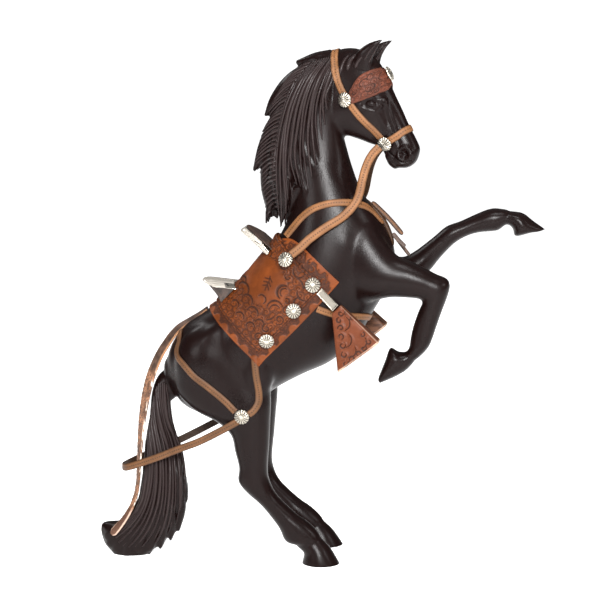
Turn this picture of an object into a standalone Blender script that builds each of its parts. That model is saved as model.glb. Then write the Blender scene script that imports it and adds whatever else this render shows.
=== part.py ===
"""A rearing horse carved from one block of dark wood, dressed in leather tack with silver fittings.

The horse faces +X and its right, or near, side faces -Y.
It stands on its hind hooves and its tail, on Z = 0.
"""

import math

import bmesh
import bpy
import numpy as np
from mathutils import Vector
from mathutils.bvhtree import BVHTree

# Sizes that are set by themselves, in metres
HORSE_HEIGHT = 0.3915
HORSE_TRIANGLES = 4740
CLEARANCE = 0.0004
STRAP_WIDTH = 0.0054
STRAP_THICK = 0.0011
REIN_WIDTH = 0.0058
TAIL_STRAP_WIDTH = 0.0050
CRUPPER_WIDTH = 0.0085
CRUPPER_THICK = 0.0016
THONG_WIDTH = 0.0040
PAD_THICK = 0.0014
SEAT_THICK = 0.0018
PLATE_THICK = 0.0018
POMMEL_THICK = 0.0026
PLATE_BACKING = 0.0014
CONCHO_RADIUS = 0.0056
CONCHO_HEIGHT = 0.0024
FLUTES = 10
BAR_WIDTH = 0.0060
BAR_THICK = 0.0016
STIRRUP_TOP_DEPTH = 0.0085
STIRRUP_FOOT_DEPTH = 0.0200
STIRRUP_STANDOFF = 0.0405

# The tables below are drawn for a horse this many units tall, so a unit is 1 mm at the size built here.
# The hooves and the tail are cut flat at the height GROUND in the drawing, which becomes Z = 0.
DRAWN_HEIGHT = 391.5
UNIT = HORSE_HEIGHT / DRAWN_HEIGHT
GROUND = 1.5

HEAD_TURN_DEG = 8.0
POLL = (12.0, 375.0)
HEAD_SHIFT = 2.2
FAR_EAR_AHEAD = 2.2
SWELL = 0.85

# Sections of the carved horse, in drawing units: x and z of the front or upper edge,
# x and z of the rear or lower edge, y of the middle, half width
TORSO = (
    (-119.5, 152.5, -115, 126.5, 0, 10),
    (-115.5, 164, -103, 115, 0, 19),
    (-105.5, 178, -77.5, 108, 0, 26),
    (-91.5, 188, -55.5, 116.5, 0, 30),
    (-77.5, 198, -37, 132.5, 0, 31.5),
    (-61, 212, -15.5, 145, 0, 33),
    (-46.5, 229, 5, 154.5, 0, 33.5),
    (-34, 244.5, 24.5, 170, 0, 32.5),
    (-25, 264, 37.5, 192, 0, 30),
    (-23, 282, 49, 213, 0, 27),
    (-23, 300, 53.5, 236.5, 0, 23.5),
    (-24.5, 315.5, 45, 259, 0, 19.5),
    (-23, 333, 28, 281, 0, 16),
    (-19, 349, 19.3, 301, 0, 14),
    (-11.5, 364, 13.5, 321, 0, 13),
    (1, 377, 9.5, 337.5, 0, 11),
)
HEAD = (
    (5, 383, -1, 352, 0, 8),
    (15, 386.5, 2, 340.5, 0, 10.5),
    (27, 385.5, 9, 326.8, 0, 12),
    (39, 377, 18.5, 323.5, 0, 12.5),
    (46.5, 364, 28, 320.2, 0, 11),
    (51.5, 353, 34.8, 317.3, 0, 9),
    (57, 342, 41.5, 315.5, 0, 7.6),
    (62, 331, 45.5, 309.5, 0, 7.2),
    (67.5, 320.5, 49, 303.5, 0, 7.8),
    (70.5, 313.5, 53.5, 300, 0, 8.2),
    (69, 307.5, 59.5, 300, 0, 6.5),
)
HIND_LEG = (
    (-64.5, 186.5, -104.5, 161.5, -14, 15),
    (-50, 167.5, -110, 135.5, -17, 15.5),
    (-40, 145, -97.5, 118.5, -19, 14.5),
    (-37.5, 127.5, -77.5, 108.5, -21, 13.5),
    (-38, 110.5, -66.5, 99, -22, 12),
    (-38.5, 94, -63.5, 87, -23, 10.5),
    (-39.5, 79, -60, 73.5, -24, 9.5),
    (-39, 67.5, -61, 64.5, -25, 9),
    (-33.5, 55, -55, 56, -25, 8),
    (-25, 46, -44, 46.5, -25, 7.5),
    (-16.5, 38.5, -35, 36, -25, 7.5),
    (-9, 33.5, -29, 27.5, -25, 8),
    (-2.5, 27.5, -24.5, 18, -25, 8.5),
    (1.5, 21.5, -14.5, 16, -25, 8),
)
HIND_HOOF = (
    (-2, 25, -17, 15, -25, 7),
    (7, 16, -11.5, 10, -25, 9.5),
    (11.5, 9.5, -12.2, 4.5, -25, 11.5),
    (16, 1.5, -13.2, 0, -25, 12.8),
    (16.8, -2.0, -12.5, -3, -25, 12.8),
)
FAR_HIND_SHIFT = (
    (150, 0, 0),
    (120, -0.8, 0),
    (100, -2.2, -1),
    (60, -4.2, -2),
    (30, -4, -1.5),
    (0, -2, 0),
)
NEAR_FORELEG = (
    (37.5, 260, 12.5, 215, -14, 12),
    (47, 247, 23.5, 203.5, -16, 12.5),
    (56.5, 235.5, 38.5, 202.5, -18, 11.5),
    (66.5, 231.5, 52, 205.5, -19, 10.5),
    (77.5, 226.5, 65, 205.5, -20, 9.5),
    (86, 222, 73, 205, -20, 9),
    (93, 219.5, 76, 204, -20, 9),
    (95.5, 214, 77, 203, -20, 9),
    (93, 204.5, 76, 200.5, -20, 8.5),
    (89.5, 195, 73.5, 195, -20, 7.5),
    (86, 184.5, 70, 184.5, -20, 7.2),
    (83, 175, 68, 175.5, -20, 7.5),
    (80.5, 169, 67.5, 169.5, -20, 8),
    (76.5, 164, 66.5, 166, -20, 7.5),
    (70.5, 158.5, 63.5, 163, -20, 7),
)
NEAR_FORE_HOOF = (
    (73, 161, 66, 164.5, -20, 6),
    (66.5, 153.5, 59, 164.5, -20, 7.8),
    (62, 149.8, 53.5, 167, -20, 9),
    (54.5, 145.8, 50.2, 158, -20, 9),
    (45.5, 141.8, 44.5, 145, -20, 6),
)
FAR_FORELEG = (
    (35.5, 253, 15.5, 209, 14, 12),
    (46, 236, 42, 201, 17, 11.5),
    (58, 230, 63, 207, 19, 10.5),
    (68, 234.5, 78, 220, 20, 9.5),
    (76, 240.5, 85.5, 229.5, 20, 9),
    (84.5, 247.5, 93, 238, 20, 8.5),
    (92, 254, 99, 243.5, 20, 8.5),
    (101.5, 257.5, 107, 248, 20, 7.5),
    (112, 262.5, 115, 250.5, 20, 7.2),
    (121, 266.5, 123.5, 251.5, 20, 7.8),
    (127, 268, 130, 252, 20, 8),
    (132, 267.5, 133.5, 255, 20, 7.2),
    (137.5, 267, 136, 256.5, 20, 7),
)
FAR_FORE_HOOF = (
    (134, 266.5, 133, 257, 20, 6),
    (143.5, 266, 139, 255.5, 20, 8),
    (149.5, 264.5, 141.5, 252.5, 20, 9),
    (156, 259.5, 143.5, 247.5, 20, 9.2),
    (165, 253.2, 155, 250.5, 20, 6),
)
TAIL = (
    (-105.5, 151, -102.5, 129.5, 0, 8),
    (-119.5, 145, -113.5, 122, 0, 8.5),
    (-127, 139, -119, 117, -1, 8.2),
    (-131.5, 128, -121.5, 111, -2, 8),
    (-133, 113.5, -122, 101, -4, 8.2),
    (-134, 97, -119, 90, -6, 9),
    (-136.5, 80, -114, 77.5, -8, 9.5),
    (-138.5, 64.5, -108, 64.5, -10, 10),
    (-140.5, 50.5, -106.5, 51, -12, 10),
    (-142.5, 37, -108, 39, -14, 10),
    (-150.5, 27, -111, 28.5, -16, 9.5),
    (-164.5, 20.5, -116, 18, -17, 8.5),
    (-167, 11, -124, 9.5, -18, 8),
    (-160, 2, -134, 2, -19, 7),
    (-157, -2, -138, -2, -19, 6),
)
MANE = (
    (4, 386, 12.5, 364, 0, 9),
    (-5, 380.2, 6, 352, 0, 13),
    (-13.8, 370, 2, 345, 0, 15),
    (-22.3, 360, -3, 334, 0, 15.5),
    (-29.2, 348, -7, 321, 0, 16),
    (-33, 335, -9, 310, 0, 16.5),
    (-37, 322, -12, 305, 0, 17),
    (-39, 310, -14, 298, 0, 17.5),
    (-38.8, 299, -17, 289.5, 0, 18),
    (-37.6, 288, -19, 282, 0, 17.5),
    (-37, 277.5, -22, 274.5, 0, 16),
    (-35.5, 269, -26, 267, 0, 13),
)
LOWER_LIP = (
    (49, 311, 45, 307, 0, 5.5),
    (53, 304, 47.5, 302, 0, 5.8),
    (55, 300.5, 51.5, 298.8, 0, 4.5),
)
EAR = (
    (37, 370, 23, 375, -7.5, 4.2),
    (36.5, 377.5, 25.5, 383.5, -9, 4.0),
    (38.5, 384, 31, 388.5, -10.4, 3.2),
    (41.8, 389, 36.8, 391.5, -11.4, 2.2),
    (45.2, 392.6, 43.8, 393.4, -12, 0.7),
)

# Locks of carved hair in side view, root to tip, in drawing units: x, z, half width
MANE_LOCKS = (
    ((8, 381, 2.5), (5, 366, 3.2), (3, 350, 2.8), (2.5, 340, 0.8)),
    ((2, 378, 3), (-4, 358, 4), (-7.5, 335, 4), (-6, 315, 3.2), (-2, 303, 0.8)),
    ((-3, 375, 3), (-11, 354, 4), (-15.5, 331, 4), (-12, 312, 3.5), (-6, 301, 1)),
    ((-8, 373, 3), (-17, 350, 4), (-22, 327, 4), (-19, 307, 4), (-12, 286, 2.5), (-10.5, 278, 0.8)),
    ((-12, 371, 3), (-22, 347, 4.2), (-27.5, 323, 4.2), (-27, 304, 4), (-20, 287, 1)),
    ((-16, 368, 3), (-28, 344, 4.2), (-34, 319, 4.2), (-34, 300, 4), (-31, 280, 1.2)),
    ((-21, 365, 3), (-32, 341, 4), (-39, 315, 4.2), (-41, 292, 4), (-36, 266, 2.5), (-34.5, 260, 0.8)),
    ((-25, 292, 3), (-28, 272, 4), (-30.5, 255, 0.9)),
    ((-33, 306, 3.5), (-38, 280, 4), (-42.5, 257, 1)),
    ((-17, 285, 3), (-23, 269, 3.4), (-26, 259, 0.9)),
)
MANE_BACK_LOCKS = (
    ((6, 383, 3.5), (-6, 379, 5), (-20.8, 376.8, 1.2)),
    ((-6, 375, 5), (-23.2, 363.2, 6.3), (-35.2, 349, 5.3), (-43.8, 337, 1)),
    ((-15, 360, 6), (-31, 338, 7), (-43, 315, 6), (-52.5, 296, 1)),
    ((-28, 330, 6), (-38.5, 308, 6.8), (-42.3, 285, 4.9), (-40, 261, 1)),
)
TAIL_LOCKS = (
    (
        (-127, 134, 3.5), (-124.5, 117, 4), (-120.5, 99, 4.5),
        (-114.5, 77, 4.5), (-107, 55, 4), (-104, 43, 1.2),
    ),
    (
        (-129, 134, 4), (-124, 114, 4.5), (-118.5, 92, 4.5),
        (-112, 66, 4.5), (-108, 40, 4), (-110, 20, 1.2),
    ),
    (
        (-131, 129, 4), (-127.5, 106, 4.5), (-121.5, 80, 4.5),
        (-117, 50, 4.5), (-114, 27, 3.5), (-116, 12.5, 1),
    ),
    (
        (-133, 122, 3.5), (-130.5, 95, 4.5), (-126, 69, 4.5),
        (-122, 42, 4.5), (-121, 21, 3.8), (-123.5, 6.5, 1),
    ),
    (
        (-134, 114, 3), (-133, 84, 4), (-130.5, 57, 4.5),
        (-128.5, 34, 4.5), (-128.5, 14, 3.5), (-132, 0, 1),
    ),
    ((-135, 90, 2.5), (-135, 72, 4), (-134.5, 46, 4.5), (-135, 27, 4.5), (-139, 5, 2)),
    ((-136, 75, 2.5), (-137, 61, 3.5), (-138.5, 39, 4.5), (-143.5, 19, 4.5), (-149, 1.5, 2.5)),
    ((-138, 64, 2.5), (-139.5, 50, 3), (-144, 31.5, 4.5), (-152, 15, 4.5), (-160, 2.5, 2.5)),
    ((-139, 54, 2.5), (-141, 45, 3), (-147, 31, 4), (-158.5, 18, 4.2), (-168, 7.5, 2)),
    ((-139, 46, 2), (-142.5, 36, 3), (-151, 26, 3.6), (-162, 19, 3.4), (-171, 13, 1)),
    ((-141, 37, 2), (-147.5, 28, 2.6), (-158.5, 22.5, 2.8), (-171.5, 22, 0.8)),
)

# Side-view places of the tack, in drawing units
CHEEK_CONCHO = (20.4, 349.0)
NOSE_CONCHO = (46.6, 317.2)
HAUNCH_CONCHO = (-56.5, 115.0)


# The saddle's own frame: S runs along the back towards the head and N stands away from it,
# from a point in the barrel
BARREL = np.array([-21.3, 0.0, 193.0])
BACK_DIR = np.array([0.692, 0.0, 0.722])
OUT_DIR = np.array([-0.722, 0.0, 0.692])

PAD_REAR = -44.0
PAD_FRONT = 42.5
PAD_LOWEST = -10.5
BARREL_HALF = 33.0
NOTCH_HALF_ANGLE = math.radians(27)
PAD_NOTCH = 10.5
SEAT_REAR = -36.5
SEAT_FRONT = 31.5
SEAT_LOWEST = -3.5
POMMEL_S = 19.0
POMMEL_LEAN_DEG = -6.0
POMMEL_TALL = 23.0
POMMEL_HALF = 17.5
POMMEL_CURL = 2.0
CANTLE_S = -17.5
CANTLE_LEAN_DEG = -38.0
CANTLE_TALL = 25.0
CANTLE_HALF = 18.5
CANTLE_WEDGE_REAR = -33.0
CANTLE_WEDGE_UP = 0.8

# Where the tack runs, in drawing units.
# Each row is a point inside the horse and the way out of it to the strap.
# Rows are for the near half, up to the middle of the horse, and are mirrored for the far half.
OUT = (0, -1, 0)
BREAST_ROUTE = (
    ((-19.5, 0, 256.5), OUT),
    ((-13, 0, 264), OUT),
    ((-6, 0, 269.5), OUT),
    ((1, 0, 272.6), OUT),
    ((9, 0, 274.6), (0.05, -1, 0)),
    ((18, 0, 274.6), (0.2, -1, 0)),
    ((22, 0, 272.3), (0.6, -1, 0)),
    ((22, 0, 268), (1.3, -1, 0.05)),
    ((22, 0, 262), (2.4, -1, 0.1)),
    ((22, 0, 258), (1, 0, 0.1)),
)
GIRTH_ROUTE = (
    ((-0.8, 0, 197.4), OUT),
    ((5.5, 0, 195.0), OUT),
    ((12, 0, 193.0), OUT),
    ((18, 0, 192), (0.25, -1, -0.05)),
    ((17, 0, 192), (0.9, -1, -0.15)),
    ((15, 0, 192), (2.2, -1, -0.4)),
    ((14, 0, 192), (1, 0, -0.22)),
)
CROWN_ROUTE = (
    ((9.5, 0, 375), (0, 0, 1)),
    ((9.8, 0, 374), (0, -0.6, 1)),
    ((10.5, 0, 372), (0, -1, 0.5)),
    ((12.6, 0, 366), OUT),
    ((15.8, 0, 357.5), OUT),
    ((20.0, 0, 350), OUT),
    ((24.2, 0, 343.3), OUT),
    ((31, 0, 334.5), OUT),
    ((39, 0, 326), OUT),
    ((45.5, 0, 318.8), OUT),
)
NOSEBAND_ROUTE = (
    ((50.5, 0, 320.5), OUT),
    ((54, 0, 322.5), (0.1, -1, 0.08)),
    ((55, 0, 323.5), (0.6, -1, 0.4)),
    ((55, 0, 323.5), (0.8, -0.4, 0.5)),
    ((55, 0, 323.5), (0.8, 0, 0.5)),
)
HAUNCH_REAR_ROUTE = (
    ((-98, 0, 169), (-0.8, -0.55, 0.5)),
    ((-100, 0, 166), (-0.5, -1, 0.2)),
    ((-103.5, 0, 160), (-0.2, -1, 0)),
    ((-101.5, 0, 153), OUT),
    ((-92.9, 0, 144.5), OUT),
    ((-81.3, 0, 136.1), OUT),
    ((-70, 0, 127.2), OUT),
    ((-61.7, 0, 119.1), OUT),
)
HAUNCH_FRONT_ROUTE = (
    ((-49.6, 0, 154.5), OUT),
    ((-48, 0, 146.7), OUT),
    ((-45.8, 0, 139.2), OUT),
    ((-44.6, 0, 131.7), OUT),
    ((-45, 0, 125.6), OUT),
    ((-48.1, 0, 120.2), OUT),
    ((-51.8, 0, 117.2), OUT),
)
REIN_ROUTE = (
    ((43.3, 0, 315.5), 15.5),
    ((39.0, 0, 311.0), 17),
    ((35.6, 0, 305.5), 18.5),
    ((33.0, 0, 298.7), 20),
    ((31.2, 0, 291.5), 21.5),
    ((29.8, 0, 284.3), 23),
    ((28.2, 0, 278.6), 24.5),
    ((25.4, 0, 273.6), 26),
    ((21.2, 0, 268.6), 27.5),
    ((15.4, 0, 263.6), 29.5),
    ((5.0, 0, 257.1), 32),
    ((-6.0, 0, 249.2), 34),
    ((-13.0, 0, 242.6), 35.5),
    ((-19.5, 0, 237.4), 36.5),
)
FAR_REIN_AHEAD = 1.8
BROWBAND = (
    ((21.5, 0, 351.2), OUT, 3.6),
    ((26.5, 0, 354.8), OUT, 8.2),
    ((34.0, 0, 360.0), (0.1, -1, 0), 10.4),
    ((38.0, 0, 362.5), (0.6, -1, 0.15), 9.6),
    ((36.0, 0, 362.5), (1.0, -0.6, 0.3), 7.8),
    ((34.0, 0, 362.0), (1.0, 0, 0.35), 6.4),
)
CRUPPER_PATH = (
    ((-88.2, 0, 191), (-0.56, -0.2, 0.81)),
    ((-95, 0, 186.0), (-0.53, -0.3, 0.8)),
    ((-102.5, 0, 181.2), (-0.5, -0.42, 0.75)),
    ((-109.5, -1, 176.6), (-0.55, -0.55, 0.62)),
    ((-115.2, -1.5, 170.6), (-0.6, -0.65, 0.48)),
    ((-120, -2, 163.8), (-0.65, -0.7, 0.38)),
    ((-124.4, -2.5, 156.8), (-0.68, -0.7, 0.3)),
    ((-128.8, -3, 147.5), (-0.7, -0.7, 0.2)),
    ((-132.9, -4, 136), (-0.72, -0.68, 0.12)),
    ((-136.4, -5, 120.5), (-0.74, -0.66, 0.06)),
    ((-138.6, -6, 106), (-0.77, -0.64, 0.02)),
    ((-139.8, -7, 92), (-0.8, -0.6, 0)),
    ((-140.4, -9, 78), (-0.85, -0.52, 0)),
    ((-140.8, -11, 64.5), (-0.88, -0.47, 0)),
    ((-141.5, -13, 53.5), (-0.88, -0.45, 0.08)),
    ((-143.2, -16, 44.5), (-0.8, -0.55, 0.25)),
    ((-146, -20, 37), (-0.7, -0.65, 0.4)),
    ((-150, -24, 30.5), (-0.55, -0.75, 0.4)),
    ((-154.6, -26.5, 24.6), (-0.45, -0.9, 0.3)),
    ((-159.2, -27, 19.2), (-0.4, -0.93, 0.2)),
)
TAIL_STRAP_PATH = (
    ((-62.5, -35, 110.0), (0, -1, 0)),
    ((-72, -35, 104.8), (0, -1, 0)),
    ((-90, -34, 95.2), (-0.05, -1, 0)),
    ((-105.7, -31.5, 88.6), (-0.1, -1, 0)),
    ((-121.7, -28.5, 81.4), (-0.12, -1, 0)),
    ((-137.9, -25.5, 74.8), (-0.3, -1, 0)),
    ((-148.5, -20.5, 70.6), (-0.8, -1, 0)),
    ((-153.6, -9, 68.8), (-1, 0, 0)),
    ((-150, 2, 69.6), (-0.8, 1, 0)),
    ((-141, 9.5, 73), (-0.4, 1, 0)),
    ((-128, 14.5, 78), (-0.25, 1, 0)),
    ((-108, 20.5, 87.2), (-0.25, 1, 0)),
    ((-92, 27, 95), (-0.3, 1, 0)),
    ((-76, 34, 103), (-0.2, 1, 0)),
    ((-66, 36, 108.2), (0, 1, 0)),
)
THONG_PATHS = (
    ("chest_thong_long", ((38.5, 0.5, 274.0), (49.3, 0.5, 262.8), (60.2, 0, 250.0))),
    ("chest_thong_near", ((53.2, -4.5, 251.5), (57.6, -4.5, 246.4), (62.4, -5, 241.8))),
    ("chest_thong_far", ((54.4, 4.5, 246.5), (58.6, 4.5, 241.2), (64.5, 5, 233.5))),
)
SADDLE_CONCHOS = (
    ("saddle_concho_rein", (-23.9, 232.4)),
    ("saddle_concho_stirrup", (-3.5, 214.6)),
    ("saddle_concho_middle", (-17.5, 195.9)),
    ("saddle_concho_rear", (-37.6, 173.2)),
)
STIRRUP_TOP = ((11.2, 195.4), (17.4, 201.6))
STIRRUP_FOOT = ((17.6, 151.6), (46.4, 175.4))


def unit(v):
    v = np.asarray(v, float)
    return v / np.linalg.norm(v, axis=-1, keepdims=True)


def spline(rows, per_span):
    """Catmull-Rom through the rows, as an array with per_span steps between neighbours."""
    p = np.asarray(rows, float)
    p = np.vstack([2 * p[0] - p[1], p, 2 * p[-1] - p[-2]])
    t = np.linspace(0, 1, per_span, endpoint=False)[:, None]
    out = []
    for a, b, c, d in zip(p[:-3], p[1:-2], p[2:-1], p[3:]):
        square = (2 * a - 5 * b + 4 * c - d) * t**2
        cube = (3 * b - a - 3 * c + d) * t**3
        out.append(0.5 * (2 * b + (c - a) * t + square + cube))
    return np.vstack([*out, p[-2:-1]])


def turned(points):
    """Points of the head, turned about the upright line through the poll."""
    p = np.array(points, float)
    a = math.radians(HEAD_TURN_DEG)
    pivot = np.array([POLL[0] * UNIT, 0, 0])
    q = p - pivot
    q[..., 0] += HEAD_SHIFT * UNIT * np.clip(q[..., 0] / (25 * UNIT), 0, 1)
    x = q[..., 0] * math.cos(a) + q[..., 1] * math.sin(a)
    y = q[..., 1] * math.cos(a) - q[..., 0] * math.sin(a)
    return np.stack([x, y, q[..., 2]], axis=-1) + pivot


def tube_faces(rings, around, first, last):
    """Faces of a closed tube of quads whose end rings close on the points first and last."""
    faces = []
    for i in range(rings - 1):
        for j in range(around):
            k = (j + 1) % around
            faces.append((i * around + j, i * around + k, (i + 1) * around + k, (i + 1) * around + j))
    for j in range(around):
        k = (j + 1) % around
        faces.append((first, k, j))
        end = (rings - 1) * around
        faces.append((end + j, end + k, last))
    return faces


def loft(stations, around=18, per_span=3, squareness=1.0, cap=0.35, swell=0.0):
    """Closed shell through oval sections.

    A section spans its two edges in side view and its half width in Y.
    swell is added to every half size, to make up for what the smoothing takes off.
    """
    s = spline(stations, per_span) * UNIT
    centre = np.stack([(s[:, 0] + s[:, 2]) / 2, s[:, 4], (s[:, 1] + s[:, 3]) / 2], axis=1)
    deep = np.stack([(s[:, 0] - s[:, 2]) / 2, 0 * s[:, 0], (s[:, 1] - s[:, 3]) / 2], axis=1)
    deep += deep / np.linalg.norm(deep, axis=1, keepdims=True) * swell * UNIT
    wide = np.stack([0 * s[:, 5], np.maximum(s[:, 5] + swell * UNIT, 0.2 * UNIT), 0 * s[:, 5]], axis=1)
    angle = np.linspace(0, 2 * math.pi, around, endpoint=False)
    c = np.sign(np.cos(angle)) * np.abs(np.cos(angle)) ** squareness
    d = np.sign(np.sin(angle)) * np.abs(np.sin(angle)) ** squareness
    rings = centre[:, None] + deep[:, None] * c[None, :, None] + wide[:, None] * d[None, :, None]
    ends = []
    for i, j in ((0, 1), (-1, -2)):
        along = centre[i] - centre[j]
        along = along / np.linalg.norm(along)
        ends.append(centre[i] + along * cap * np.linalg.norm(deep[i]))
    points = np.vstack([rings.reshape(-1, 3), ends])
    count = len(rings) * around
    return points, tube_faces(len(rings), around, count, count + 1)


def lock(path, y_of, thick, around=8, per_span=3):
    """Closed tapered shell along a side-view path.

    Its Y comes from y_of(x, z), and it is thick times as deep as it is wide.
    """
    p = spline(path, per_span)
    x, z, half = p[:, 0] * UNIT, p[:, 1] * UNIT, np.maximum(p[:, 2], 0.4) * UNIT
    y = y_of(x, z)
    centre = np.stack([x, y, z], axis=1)
    along = np.gradient(centre, axis=0)
    along[:, 1] = 0
    along /= np.linalg.norm(along, axis=1)[:, None]
    across = np.stack([-along[:, 2], 0 * x, along[:, 0]], axis=1)
    angle = np.linspace(0, 2 * math.pi, around, endpoint=False)
    ring = (
        across[:, None] * (half[:, None] * np.cos(angle))[:, :, None]
        + np.array([0, 1, 0]) * (thick * half[:, None] * np.sin(angle))[:, :, None]
    )
    rings = centre[:, None] + ring
    root = centre[0] - along[0] * half[0]
    tip = centre[-1] + along[-1] * half[-1]
    points = np.vstack([rings.reshape(-1, 3), root, tip])
    count = len(p) * around
    return points, tube_faces(len(p), around, count, count + 1)


def ellipsoid(centre, radii, around=12, rows=7):
    """Closed oval ball, in drawing units."""
    lat = np.linspace(-math.pi / 2, math.pi / 2, rows + 2)[1:-1]
    lon = np.linspace(0, 2 * math.pi, around, endpoint=False)
    ball = np.stack(
        [
            np.cos(lat)[:, None] * np.cos(lon),
            np.cos(lat)[:, None] * np.sin(lon),
            np.sin(lat)[:, None] + 0 * lon,
        ],
        axis=-1,
    )
    points = np.vstack([ball.reshape(-1, 3), [[0, 0, -1], [0, 0, 1]]])
    count = rows * around
    placed = (points * np.asarray(radii) + np.asarray(centre)) * UNIT
    return placed, tube_faces(rows, around, count, count + 1)


def joined(shells):
    """Several closed shells as one list of points and faces."""
    points, faces, start = [], [], 0
    for p, f in shells:
        points.append(p)
        faces += [tuple(start + i for i in face) for face in f]
        start += len(p)
    return np.vstack(points), faces


def mesh_of(name, points, faces):
    """Blender mesh whose faces point outwards."""
    mesh = bpy.data.meshes.new(name)
    mesh.from_pydata([tuple(map(float, p)) for p in points], [], faces)
    bm = bmesh.new()
    bm.from_mesh(mesh)
    bmesh.ops.recalc_face_normals(bm, faces=bm.faces)
    if bm.calc_volume(signed=True) < 0:
        bmesh.ops.reverse_faces(bm, faces=bm.faces)
    bm.to_mesh(mesh)
    bm.free()
    return mesh


def add_object(name, mesh, material=None):
    obj = bpy.data.objects.new(name, mesh)
    bpy.context.scene.collection.objects.link(obj)
    if material is not None:
        mesh.materials.clear()
        mesh.materials.append(material)
    return obj


def fused(name, shells, voxel, smooth_factor, smooth_times):
    """Overlapping shells run together as one skin, then eased."""
    obj = add_object(name, mesh_of(name, *joined(shells)))
    remesh = obj.modifiers.new("one_skin", "REMESH")
    remesh.mode = "VOXEL"
    remesh.voxel_size = voxel
    if smooth_times:
        smooth = obj.modifiers.new("ease", "SMOOTH")
        smooth.factor = smooth_factor
        smooth.iterations = smooth_times
    graph = bpy.context.evaluated_depsgraph_get()
    mesh = bpy.data.meshes.new_from_object(obj.evaluated_get(graph))
    bpy.data.objects.remove(obj)
    points = np.array([v.co for v in mesh.vertices])
    faces = [tuple(p.vertices) for p in mesh.polygons]
    return largest_body(points, faces)


def largest_body(points, faces):
    """The shell with the most points, without crumbs that touch nothing."""
    label = np.arange(len(points))
    ends = np.array([(f[k], f[k - 1]) for f in faces for k in range(len(f))])
    while True:
        low = label.copy()
        np.minimum.at(low, ends[:, 0], label[ends[:, 1]])
        np.minimum.at(low, ends[:, 1], label[ends[:, 0]])
        low = low[low]
        if np.array_equal(low, label):
            break
        label = low
    kept = label == np.bincount(label).argmax()
    index = np.cumsum(kept) - 1
    return points[kept], [tuple(int(index[v]) for v in f) for f in faces if kept[f[0]]]


class Surface:
    """The skins that a piece of tack rests on."""

    def __init__(self):
        self.trees = []

    def add(self, points, faces):
        self.trees.append(BVHTree.FromPolygons([Vector(p) for p in points], faces))

    def height(self, origin, direction, reach=0.065):
        """How far along direction from origin the outermost skin lies, and its normal, or None."""
        o, d = Vector(origin), Vector(direction).normalized()
        best = None
        for tree in self.trees:
            hit = tree.ray_cast(o + d * reach, -d, reach * 1.2)
            if hit[0] is not None:
                far = reach - hit[3]
                if best is None or far > best[0]:
                    best = (far, hit[1])
        return best


def side_height(surface, side):
    """y_of(x, z) for locks that lie on a skin, on the side -1 (near) or +1 (far)."""

    def y_of(x, z):
        out = np.full(len(x), np.nan)
        for i in range(len(x)):
            hit = surface.height((x[i], 0.0, z[i]), (0, side, 0))
            if hit:
                out[i] = side * hit[0]
        known = np.flatnonzero(~np.isnan(out))
        if len(known) == 0:
            return np.zeros(len(x))
        return np.interp(np.arange(len(x)), known, out[known])

    return y_of


def far_hind(points):
    """The far hind leg stands a little differently from the mirrored near one."""
    heights, back, down = np.array(FAR_HIND_SHIFT[::-1]).T * UNIT
    moved = points.copy()
    moved[:, 0] += np.interp(points[:, 2], heights, back)
    moved[:, 2] += np.interp(points[:, 2], heights, down)
    return moved


def carved_horse():
    """The whole horse as one skin: smooth body first, then hair, hooves, ears and face laid into it."""
    flip = [1, -1, 1]
    hind = loft(HIND_LEG, swell=SWELL)
    haunch = ellipsoid((-84, -17, 150), (27, 17, 33))
    shoulder = ellipsoid((14, -15, 236), (20, 14, 34))
    stifle = ellipsoid((-46, -24, 148), (12, 10, 20))
    cheeks = [ellipsoid((15, y, 345), (16, 6, 16)) for y in (-7, 7)]
    head = loft(HEAD, squareness=0.9, swell=SWELL)
    body = [loft(TORSO, around=24, squareness=0.95, swell=SWELL)]
    body += [hind, (far_hind(hind[0] * flip), hind[1])]
    for points, faces in (haunch, shoulder, stifle):
        body += [(points, faces), (points * flip, faces)]
    body += [loft(NEAR_FORELEG, swell=SWELL), loft(FAR_FORELEG, swell=SWELL)]
    body += [(turned(p), f) for p, f in (head, *cheeks)]
    smooth = fused("body", body, 2.2 * UNIT, 0.5, 9)

    skin = Surface()
    mane = loft(MANE, squareness=0.9)
    tail = loft(TAIL)
    hair = [mane, tail]
    skin.add(*mane)
    skin.add(*smooth)
    tail_skin = Surface()
    tail_skin.add(*tail)
    for side in (-1, 1):
        for path in MANE_LOCKS:
            hair.append(lock(path, side_height(skin, side), 0.55))
        for path in TAIL_LOCKS:
            hair.append(lock(path, side_height(tail_skin, side), 0.55))
    for path in MANE_BACK_LOCKS:
        hair.append(lock(path, lambda x, z: 0 * x, 1.5))
    for path in TAIL_LOCKS:
        centre = np.interp([z for _, z, _ in path], [0, 60, 150], [-18, -10, 0])
        y = np.interp(np.arange(3 * len(path) - 2), np.arange(len(path)) * 3, centre) * UNIT
        hair.append(lock(path, lambda x, z, y=y: y[: len(x)], 1.6))

    hooves = [loft(HIND_HOOF, cap=0.0)]
    hooves.append((far_hind(hooves[0][0] * flip), hooves[0][1]))
    hooves += [loft(NEAR_FORE_HOOF), loft(FAR_FORE_HOOF)]
    ear = loft(EAR, around=10)
    far_ear = ear[0] * flip + np.array([FAR_EAR_AHEAD * UNIT, 0, 0])
    face = [(turned(ear[0]), ear[1]), (turned(far_ear), ear[1])]
    for side in (-1, 1):
        eye = ellipsoid((39.5, side * 10.2, 345.5), (4.6, 3.0, 3.4))
        brow = ellipsoid((40, side * 9.2, 350), (6.5, 3.6, 3.4))
        nostril = ellipsoid((62.5, side * 6.6, 309.5), (4.6, 3.0, 4.6))
        face += [(turned(p), f) for p, f in (eye, brow, nostril)]
    lip = loft(LOWER_LIP, around=12)
    face.append((turned(lip[0]), lip[1]))
    points, faces = fused("horse_skin", [smooth, *hair, *hooves, *face], 1.5 * UNIT, 0.5, 2)
    return stood_flat(points, faces)


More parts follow.
